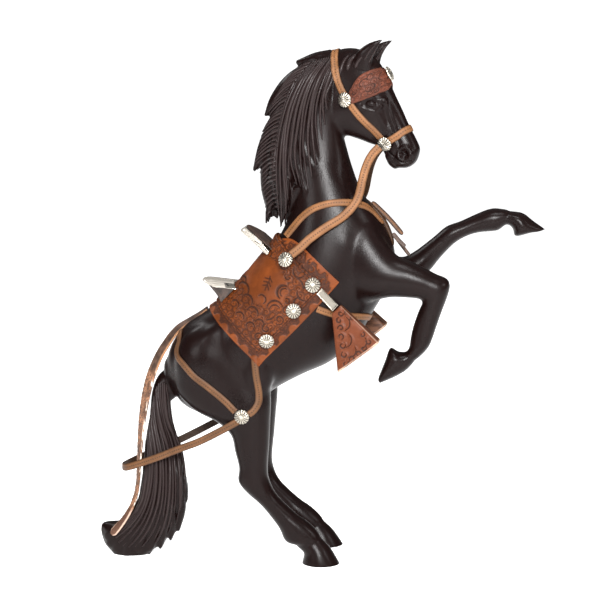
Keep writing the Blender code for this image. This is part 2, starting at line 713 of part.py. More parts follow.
def stood_flat(points, faces):
    """The skin with its faces thinned, cut off flat at the ground."""
    obj = add_object("thin", mesh_of("thin", points, faces))
    thin = obj.modifiers.new("thin", "DECIMATE")
    thin.ratio = min(1.0, HORSE_TRIANGLES / (2 * len(faces)))
    graph = bpy.context.evaluated_depsgraph_get()
    mesh = bpy.data.meshes.new_from_object(obj.evaluated_get(graph))
    bpy.data.objects.remove(obj)
    bm = bmesh.new()
    bm.from_mesh(mesh)
    whole = bm.verts[:] + bm.edges[:] + bm.faces[:]
    ground = (0, 0, GROUND * UNIT)
    cut = bmesh.ops.bisect_plane(bm, geom=whole, plane_co=ground, plane_no=(0, 0, 1), clear_inner=True)
    edges = [e for e in cut["geom_cut"] if isinstance(e, bmesh.types.BMEdge)]
    bmesh.ops.holes_fill(bm, edges=edges, sides=0)
    bmesh.ops.triangulate(bm, faces=bm.faces[:])
    bmesh.ops.recalc_face_normals(bm, faces=bm.faces)
    bm.verts.index_update()
    points = np.array([v.co for v in bm.verts])
    faces = [tuple(v.index for v in f.verts) for f in bm.faces]
    bm.free()
    return points, faces


def both_halves(rows):
    """Rows of a near half that ends on the middle, with the far half added."""
    far = [tuple((p[0], -p[1], p[2]) for p in row[:2]) + tuple(row[2:]) for row in reversed(rows[:-1])]
    return [*rows, *far]


def of_side(rows, side):
    """Rows drawn for the near side, for the side -1 (near) or +1 (far)."""
    if side < 0:
        return list(rows)
    return [tuple((p[0], -p[1], p[2]) for p in row[:2]) + tuple(row[2:]) for row in rows]


def slab(base, out, thick, lifts):
    """Closed sheet of even thickness over a grid of places, each raised by its lift."""
    rows, columns = base.shape[:2]
    low = base + out * lifts[..., None]
    high = low + out * thick
    points = np.vstack([low.reshape(-1, 3), high.reshape(-1, 3)])
    top = rows * columns
    faces = []
    for i in range(rows - 1):
        for j in range(columns - 1):
            a, b = i * columns + j, i * columns + j + 1
            c, d = b + columns, a + columns
            faces += [(a, b, c, d), (top + a, top + d, top + c, top + b)]
    rim = [j for j in range(columns)]
    rim += [i * columns + columns - 1 for i in range(1, rows)]
    rim += [(rows - 1) * columns + j for j in range(columns - 2, -1, -1)]
    rim += [i * columns for i in range(rows - 2, 0, -1)]
    for a, b in zip(rim, rim[1:] + rim[:1]):
        faces.append((a, top + a, top + b, b))
    return points, faces


def triangles_of(faces):
    """The faces as triangles, fanned from the first corner."""
    return [(face[0], face[i], face[i + 1]) for face in faces for i in range(1, len(face) - 1)]


def raised_clear(surface, base, out, thick):
    """A slab lying on the skins, raised bit by bit wherever it would cut into one."""
    shape = base.shape[:2]
    lifts = np.full(shape, CLEARANCE)
    step = 0.00012
    count = shape[0] * shape[1]
    for _ in range(70):
        trial = np.maximum(lifts - 0.7 * CLEARANCE, 0)
        points, faces = slab(base, out, thick + 0.7 * CLEARANCE, trial)
        tris = triangles_of(faces)
        tree = BVHTree.FromPolygons([Vector(p) for p in points], tris)
        struck = {tris[pair[0]] for other in surface.trees for pair in tree.overlap(other)}
        if not struck:
            break
        for corner in {c % count for tri in struck for c in tri}:
            lifts[corner // shape[1], corner % shape[1]] += step
    return slab(base, out, thick, lifts)


def strip_grid(points, outs, width):
    """Two-column grid for a strap of this width along the points, and the way out at each place."""
    along = unit(np.gradient(points, axis=0))
    across = unit(np.cross(outs, along))
    outs = unit(np.cross(along, across))
    base = np.stack([points - across * width / 2, points + across * width / 2], axis=1)
    return base, np.stack([outs, outs], axis=1)


def rays_of(rows, per_span, head=False):
    """Places and directions of a route, run smoothly between its rows."""
    places = spline([r[0] for r in rows], per_span) * UNIT
    ways = unit(spline([r[1] for r in rows], per_span))
    if head:
        tips = turned(places + ways)
        places = turned(places)
        ways = unit(tips - places)
    return places, ways


def laid_strap(surface, rows, width, thick, per_span=2, head=False, reach=0.05):
    """Strap that follows a route over the skins, flat across and resting on them."""
    places, ways = rays_of(rows, per_span, head)
    hits = [surface.height(p, w, reach) for p, w in zip(places, ways)]
    far = np.array([h[0] if h else np.nan for h in hits])
    known = np.flatnonzero(~np.isnan(far))
    far = np.interp(np.arange(len(far)), known, far[known])
    points = places + ways * far[:, None]
    along = unit(np.gradient(points, axis=0))
    across = unit(np.cross(ways, along))
    sides = []
    for sign in (-1, 1):
        edge = points + across * sign * width / 2
        found = [surface.height(p, w, reach=0.02) for p, w in zip(edge, ways)]
        drop = np.array([f[0] if f else -width for f in found])
        sides.append(edge + ways * np.clip(drop, -0.35 * width, 0.35 * width)[:, None])
    base = np.stack(sides, axis=1)
    outs = unit(np.cross(along, base[:, 1] - base[:, 0]))
    outs *= np.sign(np.sum(outs * ways, axis=1))[:, None]
    return raised_clear(surface, base, np.stack([outs, outs], axis=1), thick)


def free_strap(surface, rows, width, thick, per_span=2):
    """Strap that hangs along given places."""
    places, ways = rays_of(rows, per_span)
    base, outs = strip_grid(places, ways, width)
    return raised_clear(surface, base, outs, thick)


def rein(surface, side):
    """Rein from the bit to the saddle.

    It keeps its own line, and rests where the neck or the shoulder is wider.
    """
    places = spline([p for p, _ in REIN_ROUTE], 2) * UNIT
    if side > 0:
        places[:, 0] += FAR_REIN_AHEAD * UNIT * np.clip((places[:, 2] / UNIT - 270) / 15, 0, 1)
    wide = spline([(w,) for _, w in REIN_ROUTE], 2)[:, 0] * UNIT
    head_share = np.clip((places[:, 2] / UNIT - 270) / 45, 0, 1)
    sway = -math.tan(math.radians(HEAD_TURN_DEG)) * (places[:, 0] - POLL[0] * UNIT) * head_share
    wide = wide * side + sway
    for i, (p, w) in enumerate(zip(places, wide)):
        hit = surface.height(p, (0, side, 0))
        if hit and hit[0] > abs(w):
            wide[i] = side * hit[0]
    places[:, 1] = wide
    outs = np.tile([0.0, side, 0.0], (len(places), 1))
    base, outs = strip_grid(places, outs, REIN_WIDTH)
    return raised_clear(surface, base, outs, STRAP_THICK)


def saddle_sheet(surface, rear, front, lowest, thick, notch=0.0, along=4, around=14):
    """Leather laid over the barrel, from rear to front along the back and down to lowest on each side.

    The front edge steps back by notch over the withers, to leave room for the mane.
    """
    base = np.zeros((along + 1, around + 1, 3))
    outs = np.zeros_like(base)
    steepest = math.atan2(BARREL_HALF, lowest)
    for j, angle in enumerate(np.linspace(-steepest, steepest, around + 1)):
        way = math.cos(angle) * OUT_DIR + np.array([0, math.sin(angle), 0])
        edge = front - notch / (1 + (angle / NOTCH_HALF_ANGLE) ** 6)
        for i, s in enumerate(np.linspace(rear, edge, along + 1)):
            centre = (BARREL + s * BACK_DIR) * UNIT
            base[i, j] = centre + way * surface.height(centre, way)[0]
            outs[i, j] = way
    return raised_clear(surface, base, outs, thick)


def plate_frame(s, lean_deg):
    """Foot of a plate across the back, the way it rises and the way its front faces."""
    lean = math.radians(lean_deg)
    rise = math.cos(lean) * OUT_DIR + math.sin(lean) * BACK_DIR
    front = math.cos(lean) * BACK_DIR - math.sin(lean) * OUT_DIR
    return (BARREL + s * BACK_DIR) * UNIT, rise, front


def arch_plate(surface, s, lean_deg, tall, half, curl, thick, offset, rows=9, floors=4):
    """Round-topped plate across the back, its ends curled forward.

    It stands from offset to offset + thick before its middle line.
    """
    middle, rise, front = plate_frame(s, lean_deg)
    base = np.zeros((rows, floors, 3))
    outs = np.zeros_like(base) + front
    crown = surface.height(middle, OUT_DIR)[0]
    for i, t in enumerate(np.linspace(-1, 1, rows)):
        foot_place = middle + np.array([0, half * t * UNIT, 0])
        ends = [surface.height(foot_place + front * d, OUT_DIR) for d in (offset, offset + thick)]
        tilt_gap = abs(math.tan(math.radians(lean_deg))) * thick
        foot = max(hit[0] for hit in ends) + CLEARANCE + 0.0004 + tilt_gap
        top = crown + tall * UNIT * (1 - 0.6 * abs(t) ** 3)
        for k, share in enumerate(np.linspace(0, 1, floors)):
            up = foot + (top - foot) * share
            ahead = curl * UNIT * t * t * share + offset
            base[i, k] = foot_place + OUT_DIR * foot + rise * (up - foot) + front * ahead
    return slab(base, outs, thick, np.zeros((rows, floors)))


def cantle_wedge(surface, rows=7):
    """Leather block that props the cantle plate from behind, three-cornered in side view."""
    middle, rise, front = plate_frame(CANTLE_S, CANTLE_LEAN_DEG)
    crown = surface.height(middle, OUT_DIR)[0]
    rear = (BARREL + CANTLE_WEDGE_REAR * BACK_DIR) * UNIT
    gap = CLEARANCE + 0.0003
    points = []
    for t in np.linspace(-1, 1, rows):
        aside = np.array([0, CANTLE_HALF * 0.94 * t * UNIT, 0])
        behind = middle + aside - front * (PLATE_THICK / 2 + gap)
        foot = surface.height(behind - front * gap, OUT_DIR)[0] + gap + 0.0011
        top = crown + CANTLE_TALL * UNIT * (1 - 0.6 * abs(t) ** 3)
        low = surface.height(rear + aside, OUT_DIR)[0] + gap
        points.append(behind + OUT_DIR * foot)
        points.append(behind + OUT_DIR * foot + rise * (top - foot) * CANTLE_WEDGE_UP)
        points.append(rear + aside + OUT_DIR * low)
    return np.array(points), prism_faces(rows, 3)


def prism_faces(rows, around):
    """Faces of a closed tube of quads with flat ends."""
    faces = []
    for i in range(rows - 1):
        for j in range(around):
            k = (j + 1) % around
            faces.append((i * around + j, i * around + k, (i + 1) * around + k, (i + 1) * around + j))
    faces.append(tuple(range(around)))
    faces.append(tuple((rows - 1) * around + j for j in reversed(range(around))))
    return faces


def fluted_dome(centre, out, radius, height):
    """Round domed button with a fluted rim, sitting on its flat back."""
    out = unit(out)
    side = unit(np.cross(out, [0.31, 0.0, 0.95]))
    up = np.cross(out, side)
    count = 2 * FLUTES
    angle = np.arange(count) * 2 * math.pi / count
    petal = np.where(np.arange(count) % 2 == 0, 1.0, 0.9)
    rings = []
    for share, level, wavy in ((1.0, 0.0, 1), (1.0, 0.28, 1), (0.6, 0.82, 0)):
        r = radius * share * (petal if wavy else 1.0) * np.ones(count)
        ring = side * (r * np.cos(angle))[:, None] + up * (r * np.sin(angle))[:, None]
        sunk = np.where(np.arange(count) % 2 == 0, 1.0, 0.8) if not wavy else 1.0
        rings.append(centre + ring + out * (level * height * sunk * np.ones(count))[:, None])
    points = np.vstack([*rings, centre, centre + out * height])
    return points, tube_faces(3, count, 3 * count, 3 * count + 1)


def concho(surface, places, radius, height):
    """Button resting on the skins. places is its middle and the way out of the horse there."""
    middle, way = places
    way = unit(way)
    side = unit(np.cross(way, [0.3, 0.1, 0.95]))
    up = np.cross(way, side)
    samples = []
    for share in (0.0, 0.55, 0.95):
        for k in range(8 if share else 1):
            a = k * math.pi / 4
            offset = (side * math.cos(a) + up * math.sin(a)) * radius * share
            hit = surface.height(np.asarray(middle) + offset, way)
            if hit:
                samples.append(np.append(offset, hit[0]))
    samples = np.array(samples)
    flat = np.stack([samples[:, :3] @ side, samples[:, :3] @ up, np.ones(len(samples))], axis=1)
    slope = np.linalg.lstsq(flat, samples[:, 3], rcond=None)[0]
    tilt = unit(way - side * np.clip(slope[0], -0.7, 0.7) - up * np.clip(slope[1], -0.7, 0.7))
    centre = np.asarray(middle) + way * slope[2]
    lift = CLEARANCE
    for _ in range(60):
        points, faces = fluted_dome(centre + tilt * lift, tilt, radius, height)
        low = points.copy()
        low[: 2 * FLUTES] -= tilt * 0.7 * CLEARANCE
        tris = triangles_of(faces)
        tree = BVHTree.FromPolygons([Vector(p) for p in low], tris)
        if not any(tree.overlap(other) for other in surface.trees):
            break
        lift += 0.0001
    return points, faces


def side_place(x, z, side, head=False):
    """A place in the middle plane and the way out of it to one side."""
    place = np.array([x, 0, z]) * UNIT
    way = np.array([0.0, side, 0.0])
    if head:
        tip = turned(place + way)
        place = turned(place)
        way = tip - place
    return place, way


def browband(surface):
    """Wide leaf-shaped band from one cheek over the forehead to the other."""
    rows = both_halves(BROWBAND)
    places, ways = rays_of(rows, 1, head=True)
    half = np.array([r[2] for r in rows]) * UNIT
    spread = np.array([0.2, 0.0, 1.0])
    columns = np.linspace(-1, 1, 5)
    base = np.zeros((len(places), 5, 3))
    outs = np.zeros_like(base)
    for i, (p, w) in enumerate(zip(places, ways)):
        lean = unit(spread if abs(w[1]) > 0.75 else np.array([-0.35, 0, 1.0]))
        for j, t in enumerate(columns):
            origin = p + lean * half[i] * t
            hit = surface.height(origin, w)
            reach = hit[0] if hit else 0.01
            base[i, j] = origin + w * reach
            outs[i, j] = w
    return raised_clear(surface, base, outs, STRAP_THICK)


def stirrup(side):
    """Box stirrup: it widens from a small top to a broad foot, with a shallow toe recess behind."""
    y = STIRRUP_STANDOFF
    corners = []
    for (a, b), depth in ((STIRRUP_TOP, STIRRUP_TOP_DEPTH), (STIRRUP_FOOT, STIRRUP_FOOT_DEPTH)):
        for x, z in (a, b):
            for way in (-1, 1):
                corners.append((x * UNIT, side * y + way * depth / 2, z * UNIT))
    bm = bmesh.new()
    v = [bm.verts.new(c) for c in corners]
    quads = ((0, 1, 3, 2), (4, 6, 7, 5), (0, 2, 6, 4), (1, 5, 7, 3), (0, 4, 5, 1), (2, 3, 7, 6))
    faces = [bm.faces.new([v[i] for i in quad]) for quad in quads]
    bmesh.ops.recalc_face_normals(bm, faces=bm.faces)
    rear = faces[4]
    bmesh.ops.inset_individual(bm, faces=[rear], thickness=0.0022, depth=-0.0025)
    bmesh.ops.triangulate(bm, faces=bm.faces[:])
    points = np.array([w.co for w in bm.verts])
    bm.verts.index_update()
    result = [tuple(w.index for w in f.verts) for f in bm.faces]
    bm.free()
    return points, result


def stirrup_bar(surface, side):
    """Flat metal bar from the edge of the concho down to the stirrup."""
    start = np.array([-3.5, 0, 214.6]) * UNIT
    end = np.array([14.2, 0, 198.6]) * UNIT
    along = unit(end - start)
    first = start + along * (CONCHO_RADIUS + 0.0008)
    last = end - along * 0.0006
    share = np.linspace(0, 1, 4)[:, None]
    places = first + (last - first) * share
    heights = [surface.height(p, (0, side, 0)) for p in places]
    start_y = heights[0][0]
    wide = np.linspace(start_y, max(start_y, STIRRUP_STANDOFF), 4)
    places[:, 1] = side * wide
    outs = np.tile([0.0, side, 0.0], (4, 1))
    base, outs = strip_grid(places, outs, BAR_WIDTH)
    return raised_clear(surface, base, outs, BAR_THICK)


def material(name, colour, roughness, metallic=0.0):
    made = bpy.data.materials.new(name)
    made.use_nodes = True
    shader = made.node_tree.nodes["Principled BSDF"]
    shader.inputs["Base Color"].default_value = (*colour, 1.0)
    shader.inputs["Roughness"].default_value = roughness
    shader.inputs["Metallic"].default_value = metallic
    made.diffuse_color = (*colour, 1.0)
    return made


class Figure:
    """Collects the finished pieces, each laid on those made before it."""

    def __init__(self):
        self.root = bpy.data.objects.new("horse_figure", None)
        bpy.context.scene.collection.objects.link(self.root)
        self.surface = Surface()
        self.corners = []

    def add(self, name, shell, made_of, smooth=True):
        points, faces = shell
        tris = triangles_of(faces)
        obj = add_object(name, mesh_of(name, points, tris), made_of)
        if smooth:
            obj.data.shade_smooth()
        obj.parent = self.root
        self.surface.add(points, tris)
        self.corners.append((points.min(axis=0), points.max(axis=0)))
        return obj

    def centre(self):
        """Moves everything so that the middle of its footprint, at the ground, is the origin."""
        low = np.min([c[0] for c in self.corners], axis=0)
        high = np.max([c[1] for c in self.corners], axis=0)
        middle = (low + high) / 2
        self.root.location = (-middle[0], -middle[1], -GROUND * UNIT)


def main():
    for obj in list(bpy.data.objects):
        bpy.data.objects.remove(obj)
    wood = material("dark_wood", (0.018, 0.012, 0.010), 0.38)
    tan = material("tan_leather", (0.52, 0.29, 0.13), 0.55)
    tooled = material("tooled_leather", (0.36, 0.13, 0.05), 0.5)
    dark = material("dark_leather", (0.05, 0.03, 0.025), 0.6)
    silver = material("silver", (0.86, 0.85, 0.82), 0.18, 1.0)
    stirrup_wood = material("stirrup_wood", (0.23, 0.09, 0.05), 0.5)

    figure = Figure()
    skin = figure.surface
    figure.add("horse", carved_horse(), wood)

    girth = laid_strap(skin, both_halves(GIRTH_ROUTE), STRAP_WIDTH, STRAP_THICK, reach=0.04)
    figure.add("girth", girth, tan, smooth=False)
    breast = laid_strap(skin, both_halves(BREAST_ROUTE), STRAP_WIDTH, STRAP_THICK)
    figure.add("breast_strap", breast, tan, smooth=False)
    pad = saddle_sheet(skin, PAD_REAR, PAD_FRONT, PAD_LOWEST, PAD_THICK, PAD_NOTCH)
    figure.add("saddle_pad", pad, tooled)
    seat = saddle_sheet(skin, SEAT_REAR, SEAT_FRONT, SEAT_LOWEST, SEAT_THICK)
    figure.add("saddle_seat", seat, tooled)
    pommel = (POMMEL_S, POMMEL_LEAN_DEG, POMMEL_TALL, POMMEL_HALF, POMMEL_CURL)
    cantle = (CANTLE_S, CANTLE_LEAN_DEG, CANTLE_TALL, CANTLE_HALF, 0.0)
    plate = arch_plate(skin, *pommel, POMMEL_THICK, 0.0)
    backing = arch_plate(skin, *pommel, PLATE_BACKING, POMMEL_THICK + CLEARANCE)
    cantle_plate = arch_plate(skin, *cantle, PLATE_THICK, -PLATE_THICK / 2)
    wedge = cantle_wedge(skin)
    figure.add("pommel_plate", plate, silver)
    figure.add("pommel_leather", backing, dark)
    figure.add("cantle_plate", cantle_plate, silver)
    figure.add("cantle_leather", wedge, dark, smooth=False)

    crown = [*reversed(of_side(CROWN_ROUTE, -1)), *of_side(CROWN_ROUTE, 1)[1:]]
    headstall = laid_strap(skin, crown, STRAP_WIDTH, STRAP_THICK, head=True)
    figure.add("headstall", headstall, tan, smooth=False)
    noseband = laid_strap(skin, both_halves(NOSEBAND_ROUTE), STRAP_WIDTH, STRAP_THICK, head=True)
    figure.add("noseband", noseband, tan, smooth=False)
    figure.add("browband", browband(skin), tooled)
    crupper = free_strap(skin, CRUPPER_PATH, CRUPPER_WIDTH, CRUPPER_THICK, 1)
    figure.add("crupper_strap", crupper, dark, smooth=False)
    for word, side in (("near", -1), ("far", 1)):
        rear = laid_strap(skin, of_side(HAUNCH_REAR_ROUTE, side), STRAP_WIDTH, STRAP_THICK)
        figure.add("haunch_strap_rear_" + word, rear, tan, smooth=False)
        front = laid_strap(skin, of_side(HAUNCH_FRONT_ROUTE, side), STRAP_WIDTH, STRAP_THICK, 1)
        figure.add("haunch_strap_front_" + word, front, tan, smooth=False)
    around_tail = free_strap(skin, TAIL_STRAP_PATH, TAIL_STRAP_WIDTH, STRAP_THICK)
    figure.add("tail_strap", around_tail, tan, smooth=False)

    for word, side in (("near", -1), ("far", 1)):
        places = [(name, side_place(x, z, side)) for name, (x, z) in SADDLE_CONCHOS]
        places += [("haunch_concho", side_place(*HAUNCH_CONCHO, side))]
        places += [("cheek_concho", side_place(*CHEEK_CONCHO, side, head=True))]
        places += [("nose_concho", side_place(*NOSE_CONCHO, side, head=True))]
        for name, place in places:
            button = concho(skin, place, CONCHO_RADIUS, CONCHO_HEIGHT)
            figure.add(name + "_" + word, button, silver, smooth=False)
        figure.add("stirrup_bar_" + word, stirrup_bar(skin, side), silver, smooth=False)
        figure.add("stirrup_" + word, stirrup(side), stirrup_wood, smooth=False)
        figure.add("rein_" + word, rein(skin, side), tan, smooth=False)
    brow_tip = turned(np.array([37.0, 0, 364.0]) * UNIT + np.array([1.0, 0, 0.35]))
    brow_root = turned(np.array([37.0, 0, 364.0]) * UNIT)
    brow = concho(skin, (brow_root, brow_tip - brow_root), CONCHO_RADIUS, CONCHO_HEIGHT)
    figure.add("brow_concho", brow, silver, smooth=False)
    for name, path in THONG_PATHS:
        rows = [(p, (0.72, 0, 0.69)) for p in path]
        figure.add(name, free_strap(skin, rows, THONG_WIDTH, STRAP_THICK, 1), dark, smooth=False)
    figure.centre()


main()
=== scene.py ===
"""Looks for the carved rearing horse and its leather tack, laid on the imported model.

It is laid out as a Blender add-on and run as a script. Lengths in it are in drawing units,
millimetres at this size, unless metres are named. X runs towards the head, Z is up, and the plane
Y = 0 is the middle of the horse. Its near side, which the photograph shows, is the one towards -Y.
"""

import math

import bmesh
import bpy
import numpy as np
from bpy.props import FloatProperty, FloatVectorProperty, IntProperty, PointerProperty
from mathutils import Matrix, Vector
from mathutils.bvhtree import BVHTree


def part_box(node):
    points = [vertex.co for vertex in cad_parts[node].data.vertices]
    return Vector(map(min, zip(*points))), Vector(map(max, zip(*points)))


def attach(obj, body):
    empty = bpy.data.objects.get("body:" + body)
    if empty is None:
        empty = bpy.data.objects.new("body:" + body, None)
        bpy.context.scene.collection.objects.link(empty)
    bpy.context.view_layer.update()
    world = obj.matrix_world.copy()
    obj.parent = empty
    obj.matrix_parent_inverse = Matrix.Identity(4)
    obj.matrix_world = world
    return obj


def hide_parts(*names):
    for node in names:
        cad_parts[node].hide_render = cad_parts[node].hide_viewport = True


bl_info = {
    "name": "Carved rearing horse",
    "version": (1, 0, 0),
    "blender": (4, 5, 0),
    "location": "3D View > Sidebar > Horse",
    "description": "A rearing horse carved from dark wood, in tooled leather tack with silver fittings",
    "category": "Add Mesh",
}

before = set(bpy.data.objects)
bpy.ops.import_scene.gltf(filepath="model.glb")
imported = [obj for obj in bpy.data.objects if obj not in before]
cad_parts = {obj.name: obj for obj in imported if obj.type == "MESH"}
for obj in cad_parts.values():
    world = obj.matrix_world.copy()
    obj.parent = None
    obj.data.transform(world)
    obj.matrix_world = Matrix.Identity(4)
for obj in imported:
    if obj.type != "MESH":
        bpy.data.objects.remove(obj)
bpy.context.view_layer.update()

# The near stirrup's corners in side view, top and foot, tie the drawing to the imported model
STIRRUP_TOP = ((11.2, 195.4), (17.4, 201.6))
STIRRUP_FOOT = ((15.9, 152.4), (46.4, 175.4))
stirrup_low, stirrup_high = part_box("stirrup_near")
UNIT = (stirrup_high.x - stirrup_low.x) / (STIRRUP_FOOT[1][0] - STIRRUP_TOP[0][0])
ORIGIN = np.array([stirrup_low.x - STIRRUP_TOP[0][0] * UNIT, 0.0, stirrup_low.z - STIRRUP_FOOT[0][1] * UNIT])
GROUND = -ORIGIN[2] / UNIT

# Camera of the photograph, which is this many pixels wide: its lens and angles, how many metres
# off it stands, and the middle of what it looks at
IMAGE_PX = 600
CAMERA_FOCUS_PX = 1587
CAMERA_AZIMUTH = 7.0
CAMERA_ELEVATION = 8.0
CAMERA_DISTANCE = 1.2
VIEW_MIDDLE = (-17.5, 0.0, 199.04)

# Soft lights: azimuth from -Y towards +X, elevation, distance, size in metres and power
LIGHTS = (
    ("key_light", 8, 22, 1.5, 0.36, 31),
    ("rear_light", -39, 15, 1.5, 0.36, 5),
    ("low_light", 34, 6, 1.5, 0.4, 1.5),
    ("high_light", 15, 62, 1.5, 0.45, 9),
    ("side_light", 66, 26, 1.6, 0.45, 5),
    ("back_light", -125, 42, 1.9, 0.6, 6),
)
# A wide, even light from above, in watts per square metre
SKY_POWER = 0.62
# The plain backdrop looks white, and lights the horse less than it looks
WORLD_STRENGTH = 0.1
BACKDROP_STRENGTH = 1.2
# How far the floor reaches to each side, in drawing units
FLOOR_HALF = 9000

# Faces that meet at more than this are shaded as a sharp edge
SHARP_EDGE = math.radians(48)
# Gaps between laid leather and what it lies on, and the distance between stitches
STRAP_CLEARANCE = 0.15
SHEET_CLEARANCE = 0.25
STITCH_PITCH = 1.9

# Thickness, width and depth of the leather and metal pieces
PAD_THICK = 1.4
SEAT_THICK = 1.8
PLATE_THICK = 1.8
POMMEL_THICK = 2.6
PLATE_BACKING = 1.4
STRAP_THICK = 1.1
TAIL_STRAP_WIDTH = 5.0
CRUPPER_WIDTH = 8.5
CRUPPER_THICK = 1.6
BAR_WIDTH = 6.0
BAR_THICK = 1.6
STIRRUP_TOP_DEPTH = 8.5
STIRRUP_FOOT_DEPTH = 20.0
STIRRUP_STANDOFF = 40.5
# Side-view places where the stirrup's bar starts, in the middle of a button, and where it ends
BAR_START = (-3.5, 0, 214.6)
BAR_END = (14.2, 0, 198.6)
# The half-round tongues along the pad's border, the distance between the small spirals cut in each
# piece, and how deep the tooling is cut
TONGUE_PITCH = 11.0
TONGUE_REACH = 4.6
BORDER_CURL_PITCH = 7.0
PAD_CURL_PITCH = 4.6
SEAT_CURL_PITCH = 5.4
BROW_CURL_PITCH = 5.0
TOOLING_DEPTH = 0.6
# The head is turned to the near side about the upright line through the poll, and moved ahead
HEAD_TURN_DEG = 8.0
POLL = (12.0, 375.0)
HEAD_SHIFT = 2.2
# How far from the poll the head is moved by the whole of its shift
HEAD_SHIFT_OVER = 25
FAR_EAR_AHEAD = 2.2
# What the body's sections are swollen by, since easing their skin draws it in
SWELL = 0.85

# Sections of the carved horse: x and z of the front or upper edge, x and z of the rear or lower
# edge, y of the middle, half width
TORSO = (
    (-119.5, 152.5, -115, 126.5, 0, 10), (-115.5, 164, -103, 115, 0, 19),
    (-105.5, 178, -77.5, 108, 0, 26), (-91.5, 188, -55.5, 116.5, 0, 30),
    (-77.5, 198, -36.6, 131.6, 0, 31.5), (-61, 212, -15, 143.7, 0, 33), (-46.5, 229, 5.4, 153.4, 0, 33.5),
    (-34, 244.5, 24.5, 170, 0, 32.5), (-25, 264, 37.5, 192, 0, 30), (-23, 282, 49, 213, 0, 27),
    (-23, 300, 53.5, 236.5, 0, 23.5), (-24.5, 315.5, 45, 259, 0, 19.5), (-23, 333, 29, 281, 0, 16),
    (-19, 349, 21, 301, 0, 14), (-11.5, 364, 15.2, 321, 0, 13), (1, 377, 9.5, 337.5, 0, 11),
)
HEAD = (
    (5, 383, -1, 352, 0, 8), (15, 386.5, 2, 340.5, 0, 10.5), (27, 385.5, 9, 326.8, 0, 12),
    (39, 377, 18.5, 323.5, 0, 12.5), (46.5, 364, 28, 320.2, 0, 11), (51.5, 353, 34.8, 317.3, 0, 9),
    (57, 342, 41.5, 315.5, 0, 7.6), (62, 331, 45.5, 309.5, 0, 7.2), (67.5, 320.5, 49, 303.5, 0, 7.8),
    (70.5, 313.5, 53.5, 300, 0, 8.2), (69, 307.5, 59.5, 300, 0, 6.5),
)
HIND_LEG = (
    (-64.5, 186.5, -104.5, 161.5, -14, 15), (-50, 167.5, -110, 135.5, -17, 15.5),
    (-40, 145, -97.5, 118.5, -19, 14.5), (-37.5, 127.5, -77.5, 108.5, -21, 13.5),
    (-38, 110.5, -66.5, 99, -22, 12), (-38.5, 94, -63.5, 87, -23, 10.5), (-39.5, 79, -60, 73.5, -24, 9.5),
    (-39, 67.5, -61, 64.5, -25, 9), (-33.5, 55, -55, 56, -25, 8), (-25, 46, -44, 46.5, -25, 7.5),
    (-16.5, 38.5, -35, 36, -25, 7.5), (-9, 33.5, -29, 27.5, -25, 8), (-2.5, 27.5, -24.5, 18, -25, 8.5),
    (1.5, 21.5, -14.5, 16, -25, 8),
)
HIND_HOOF = (
    (-2, 25, -17, 15, -25, 7), (7, 16, -11.5, 10, -25, 9.5), (11.5, 9.5, -12.2, 4.5, -25, 11.5),
    (16, 1.5, -13.2, 0, -25, 12.8), (16.8, -2, -12.5, -3, -25, 12.8),
)
# Heights, and how far the far hind leg stands ahead and up there from the mirrored near one
FAR_HIND_SHIFT = (
    (150, 0, 0), (120, -0.8, 0), (100, -2.2, -1), (60, -4.2, -2), (30, -4, -1.5), (0, -2, 0),
)
NEAR_FORELEG = (
    (37.5, 260, 12.5, 215, -14, 12), (47, 247, 23.5, 203.5, -16, 12.5),
    (56.5, 235.5, 38.5, 202.5, -18, 11.5), (66.5, 231.5, 52, 205.5, -19, 10.5),
    (77.5, 226.5, 65, 205.5, -20, 9.5), (86, 222, 73, 205, -20, 9), (93, 219.5, 76, 204, -20, 9),
    (95.5, 214, 77, 203, -20, 9), (93, 204.5, 76, 200.5, -20, 8.5), (89.5, 195, 73.5, 195, -20, 7.5),
    (86, 184.5, 70, 184.5, -20, 7.2), (83, 175, 68, 175.5, -20, 7.5), (80.5, 169, 67.5, 169.5, -20, 8),
    (76.5, 164, 66.5, 166, -20, 7.5), (70.5, 158.5, 63.5, 163, -20, 7),
)
NEAR_FORE_HOOF = (
    (73, 161, 66, 164.5, -20, 6), (66.5, 152.8, 58.4, 164.5, -20, 7.8), (62, 149, 52.4, 167.2, -20, 9),
    (54.5, 144.8, 48.8, 158, -20, 9), (45, 140.6, 43.8, 145, -20, 6),
)
FAR_FORELEG = (
    (35.5, 253, 15.5, 209, 14, 12), (46, 236, 42, 201, 17, 11.5), (58, 230, 63, 207, 19, 10.5),
    (68, 234.5, 78, 220, 20, 9.5), (76, 240.5, 85.5, 229.5, 20, 9), (84.5, 247.5, 93, 238, 20, 8.5),
    (92, 254, 99, 243.5, 20, 8.5), (101.5, 257.5, 107, 248, 20, 7.5), (112, 262.5, 115, 250.5, 20, 7.2),
    (121, 266.5, 123.5, 251.5, 20, 7.8), (127, 268, 130, 252, 20, 8), (132, 267.5, 133.5, 255, 20, 7.2),
    (137.5, 267, 136, 256.5, 20, 7),
)
FAR_FORE_HOOF = (
    (134, 266.5, 133, 257, 20, 6), (143.5, 266, 139, 255.5, 20, 8), (149.5, 264.5, 141.5, 252.5, 20, 9),
    (156, 259.5, 143.5, 247.5, 20, 9.2), (165, 253.2, 155, 250.5, 20, 6),
)
